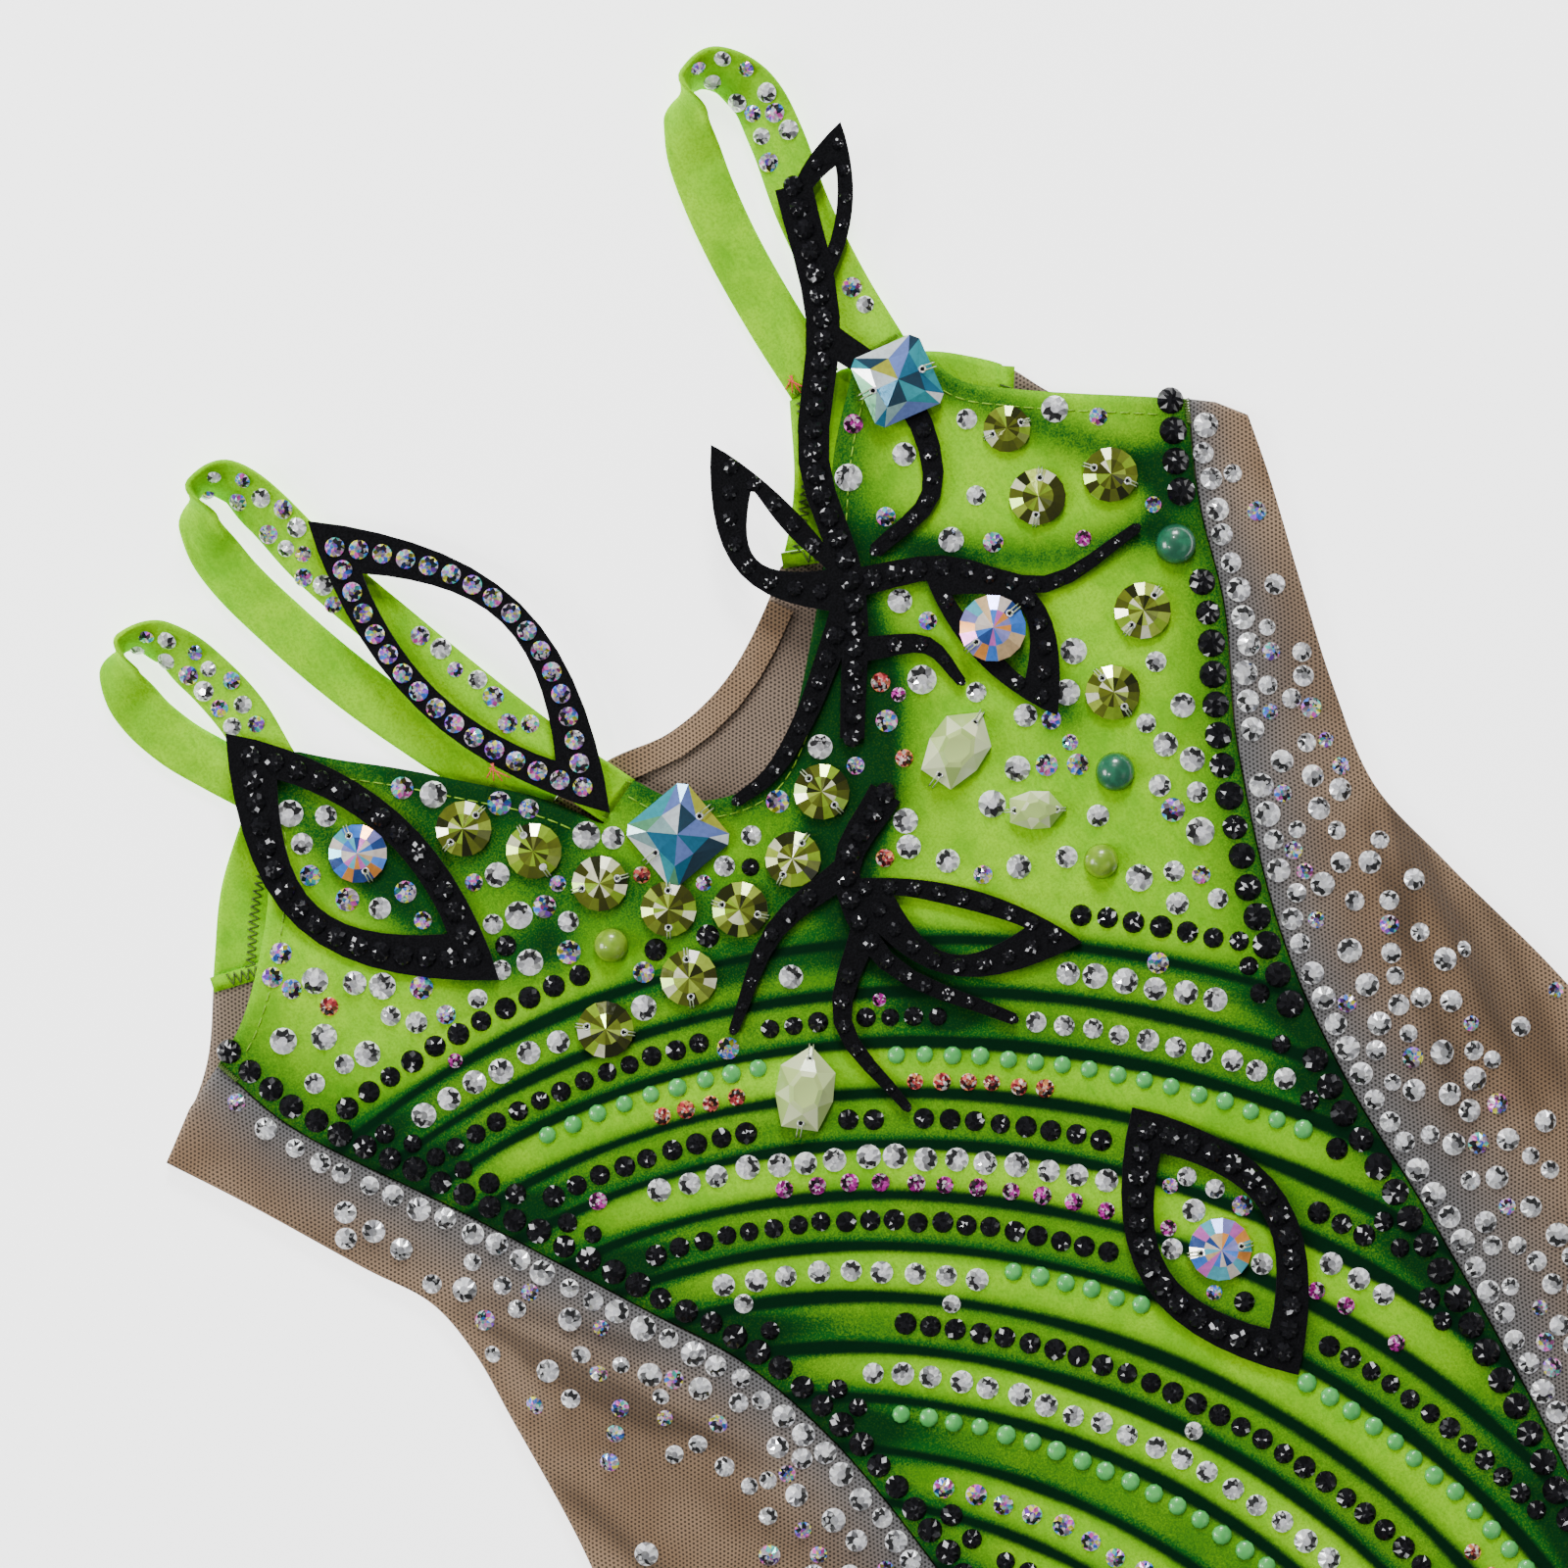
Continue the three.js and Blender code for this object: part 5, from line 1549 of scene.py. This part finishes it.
def zigzag(line, height, pitch, reach):
    """Overlock: from side to side of the line once a pitch, a little higher in the middle."""
    count = max(4, int(length_of(line) / pitch * 2))
    places = spaced(line, count)
    swing = np.where(np.arange(count) % 2 == 0, -reach / 2, reach / 2)[:, None]
    flat = spaced(offset(places, swing), count * 4)
    return np.c_[flat, np.full(len(flat), height)]


def running(line, length, gap, lift):
    """Hem: straight stitches of a length with a gap between, each a low arch on the velvet."""
    count = int(length_of(line) / (length + gap))
    fine = spaced(line, count * 12 + 1)
    rows = np.arange(count)[:, None] * 12 + np.array([0, 3, 6, 9])
    flat = fine[rows]
    height = soft_height(flat[..., 0], flat[..., 1]) + VELVET_WALL + lift * np.array([-0.3, 1, 1, -0.3])
    return np.dstack([flat, height])


# %% [markdown]
# A raw edge on the back is wrapped in overlock, the front's edges are turned and hemmed, and a
# tape or a dense bar of thread covers each place where two pieces are sewn end to end.

# %% Overlock on the back, hems on the front
def add_overlock():
    """Along both back corners, and inside the armhole and the neck."""
    inner_left = offset(left_of(back_arm_left[back_arm_left[:, 0] > -112], -91), 7.5)
    inner_right = offset(right_of(neck_back_right, 32), 2.4)
    for name, line, height, reach in (
            ("corner_left", corner_left[2:-2], 1.9, 2.6), ("corner_right", corner_right[2:-2], 1.9, 2.6),
            ("armhole", inner_left, 1.65, 2.2), ("neck", inner_right, 1.65, 2.2)):
        add_threads("overlock_" + name, [zigzag(line, height, 1.5, reach)], 0.2, olive_thread)


def add_hems():
    """Stitches 2 mm long along the neck and both armholes of the front."""
    for name, edge, end in (("neck_left", neck_left, None), ("neck_right", neck_right, None),
                            ("arm_left", arm_left, 4), ("arm_right", arm_right, 4)):
        line = offset(edge, -HEM)[end:end and -end]
        stitches = running(line[on_front(line)], 2.0, 0.7, 0.1)
        add_threads("hem_" + name, stitches, 0.16, lime_thread)


def add_seam_tapes():
    """A narrow lime tape covers the join of the back corners and the mesh."""
    for name, line in (("seam_tape_left", corner_left), ("seam_tape_right", corner_right)):
        middle = spaced(line, 60)
        plan = np.stack([offset(middle, -1.6), offset(middle, 1.6)])
        cloth_wall(name, plan, np.full(plan.shape[:2], CORNER_WALL + 0.05), 0.22, velvet_plain, "velvet_lime")


# %% Tacks and marks
def add_tacks():
    """A dense bar of thread across each sewn strap end."""
    across = np.linspace(-0.42, 0.42, 40)[:, None]
    swing = np.where(np.arange(40) % 2 == 0, -0.7, 0.7)[:, None]
    bars = []
    for width, route in STRAPS.values():
        middle, wide, _, _ = strap_frame(width, route)
        for at, before in ((0, 1), (-1, -2)):
            step = middle[at] - middle[before]
            step = step / np.linalg.norm(step) * [1, 1, 0]
            bars.append(middle[at] + wide[at] * across * width + step * swing + [0, 0, 1.05])
    add_threads("strap_tacks", bars, 0.17, lime_thread)


def add_seam_tacks():
    """A short bar of thread closes the top of each side seam."""
    bars = []
    for seam, side in ((seam_left, -1), (seam_right, 1)):
        top = offset(spaced(seam, 401)[:int(400 * 6 / length_of(seam))], 0.15 * side)
        bar = spaced(zigzag(top, 0, 0.5, 1.1)[:, :2], 90)
        bars.append(np.c_[bar, soft_height(bar[:, 0], bar[:, 1]) + VELVET_WALL - 0.1])
    add_threads("seam_tacks", bars, 0.17, olive_thread)


def add_tailor_marks():
    """Two little fans of four red stitches, where a fitter marked the strap ends."""
    marks = []
    for x, y, z in ((52, 50.6, 2.1), (-41.5, 15.0, 7.6)):
        for k in range(4):
            turn = 0.5 + 0.55 * k
            reach = np.array([math.cos(turn), math.sin(turn), 0]) * (1.5 + 0.3 * k)
            middle = np.array([x + 0.5 * k - 0.7, y - 0.4 * k, z + 0.05 * k])
            marks.append([middle - reach, middle - reach / 3, middle + reach / 3, middle + reach])
    add_threads("tailor_marks", marks, 0.17, red_thread)


add_overlock()
add_hems()
add_seam_tapes()
add_tacks()
add_seam_tacks()
add_tailor_marks()

# %% [markdown]
# A sewn-on stone is drilled near its edge at two sides. Each hole is a small ring with a dark
# middle, and two clear threads run from it over the rim and down into the cloth.

# %% Holes and thread of the large stones
def eyelet():
    """A small ring: a circle carried round a circle."""
    turn = TURN * np.arange(12) / 12
    small = TURN * np.arange(5) / 5
    reach = 1 + 0.3 * np.cos(small)[None]
    points = np.dstack([reach * np.cos(turn)[:, None], reach * np.sin(turn)[:, None],
                        np.broadcast_to(0.3 * np.sin(small)[None], (12, 5))]).reshape(-1, 3)
    index = np.arange(60).reshape(12, 5)
    after, up = np.roll(index, -1, 0), np.roll(index, -1, 1)
    both = np.roll(after, -1, 1)
    faces = np.stack([index, after, both, up], -1).reshape(-1, 4)
    return points, [tuple(f) for f in faces.tolist()]


def add_sewing():
    """Each sewn-on stone has a hole at two sides, and two threads run from it over the rim."""
    holes, normals, threads = [], [], []
    for i, (x, y, radius, turn, kind, trim) in enumerate(LARGE.values()):
        if kind in ("dome", "pearl"):
            continue
        angle = math.radians(turn) if kind in ("prism", "opal") else 0.7 + 1.3 * i
        share, rise = {"prism": (0.66, 0.36), "opal": (0.86, 0.36)}.get(kind, (0.66, 0.37))
        rim = {"prism": 0.96, "opal": 1.2}.get(kind, 1.0)
        seat_middle = seat_of(x, y, trim)
        normal = cloth_normal(np.array(x), np.array(y))
        for way in (0, math.pi):
            ray = np.array([math.cos(angle + way), math.sin(angle + way), 0.0])
            ray -= normal * ray.dot(normal)
            aside = np.cross(normal, ray)
            holes.append(seat_middle + radius * (share * ray + rise * normal))
            normals.append(normal)
            for shift in (-0.055, 0.055):
                rows = [(share - 0.03, rise - 0.1), (share + 0.06, rise + 0.09), (rim * 0.9, 0.28),
                        (rim + 0.03, 0.16), (rim + 0.07, -0.05)]
                threads.append([seat_middle + radius * (out * ray + up * normal + shift * aside)
                                for out, up in rows])
    holes, normals = np.array(holes), np.array(normals)
    size = np.full(len(holes), 0.62)
    add_stones("sewing_holes", eyelet(), holes, normals, size, glass_large, "clear",
               smooth_faces=True)
    add_stones("sewing_shadows", (ring(10, 0.9, 0.12), [tuple(range(10))]), holes, normals, size,
               jet_glass, "jet")
    add_threads("sewing_threads", threads, 0.15, clear_thread)


add_sewing()


# %% [markdown]
# ## The cut
#
# Each strap is printed with the size it was cut to. The cloth lies without stretch, so its cut
# length is the length of its middle line.


def declare_straps():
    """A strap's flat size is its width and the length of its middle line."""
    for node, (width, route) in STRAPS.items():
        length = length_of(strap_frame(width, route)[0]) * MM
        print(f"{node}: {width:.1f} x {length * 1000:.0f} mm")


declare_straps()

# %% [markdown]
# ## Stage and light
#
# The floor is plain, pale and glows a little, because the photograph was cut out on white. Two
# lamps beyond the shoulders give the short soft shadows, a weak one fills them from below, and
# two small ones make the points of light that cut stones throw back.

# %% Floor and lamps
def add_floor():
    """A square of 8 m, just under the cloth."""
    mesh = bpy.data.meshes.new("floor")
    mesh.from_pydata([(-4, -4, 0), (4, -4, 0), (4, 4, 0), (-4, 4, 0)], [], [(0, 1, 2, 3)])
    material, _, _ = new_material("floor", Roughness=0.9, Base_Color=(0.93, 0.93, 0.93),
                                  Emission_Color=(1.0, 1.0, 1.0), Emission_Strength=2.4)
    mesh.materials.append(material)
    floor = bpy.data.objects.new("floor", mesh)
    floor.location.z = -0.2 * MM
    bpy.context.scene.collection.objects.link(floor)


def add_lamp(name, place, size, power):
    """A square lamp that points at the chest: tilted by acos(-z / distance), then turned."""
    data = bpy.data.lights.new(name, "AREA")
    data.energy, data.size = power, size
    lamp = bpy.data.objects.new(name, data)
    bpy.context.scene.collection.objects.link(lamp)
    lamp.location = place
    aim = CHEST - place
    tilt = math.acos(-aim[2] / np.linalg.norm(aim))
    lamp.rotation_euler = (tilt, 0, math.atan2(-aim[0], aim[1]))


CHEST = np.array([0.0, 0.08, 0.0])
LAMPS = {  # place, size, power
    "key lamp": ((0.8, 1.25, 0.85), 0.45, 25), "broad lamp": ((-1.2, 0.75, 0.85), 0.6, 17),
    "fill lamp": ((0.9, -1.1, 1.6), 1.0, 2), "spark one": ((0.35, 0.75, 1.2), 0.06, 3),
    "spark two": ((-0.6, 0.2, 1.1), 0.06, 2.5),
}
add_floor()
for lamp_name, (lamp_place, lamp_size, power) in LAMPS.items():
    add_lamp(lamp_name, lamp_place, lamp_size, power)
world = bpy.data.worlds.new("studio")
world.use_nodes = True
world.node_tree.nodes["Background"].inputs[0].default_value = (0.95, 0.97, 1.0, 1)
world.node_tree.nodes["Background"].inputs[1].default_value = 0.18
bpy.context.scene.world = world
print("lamps:", len(LAMPS))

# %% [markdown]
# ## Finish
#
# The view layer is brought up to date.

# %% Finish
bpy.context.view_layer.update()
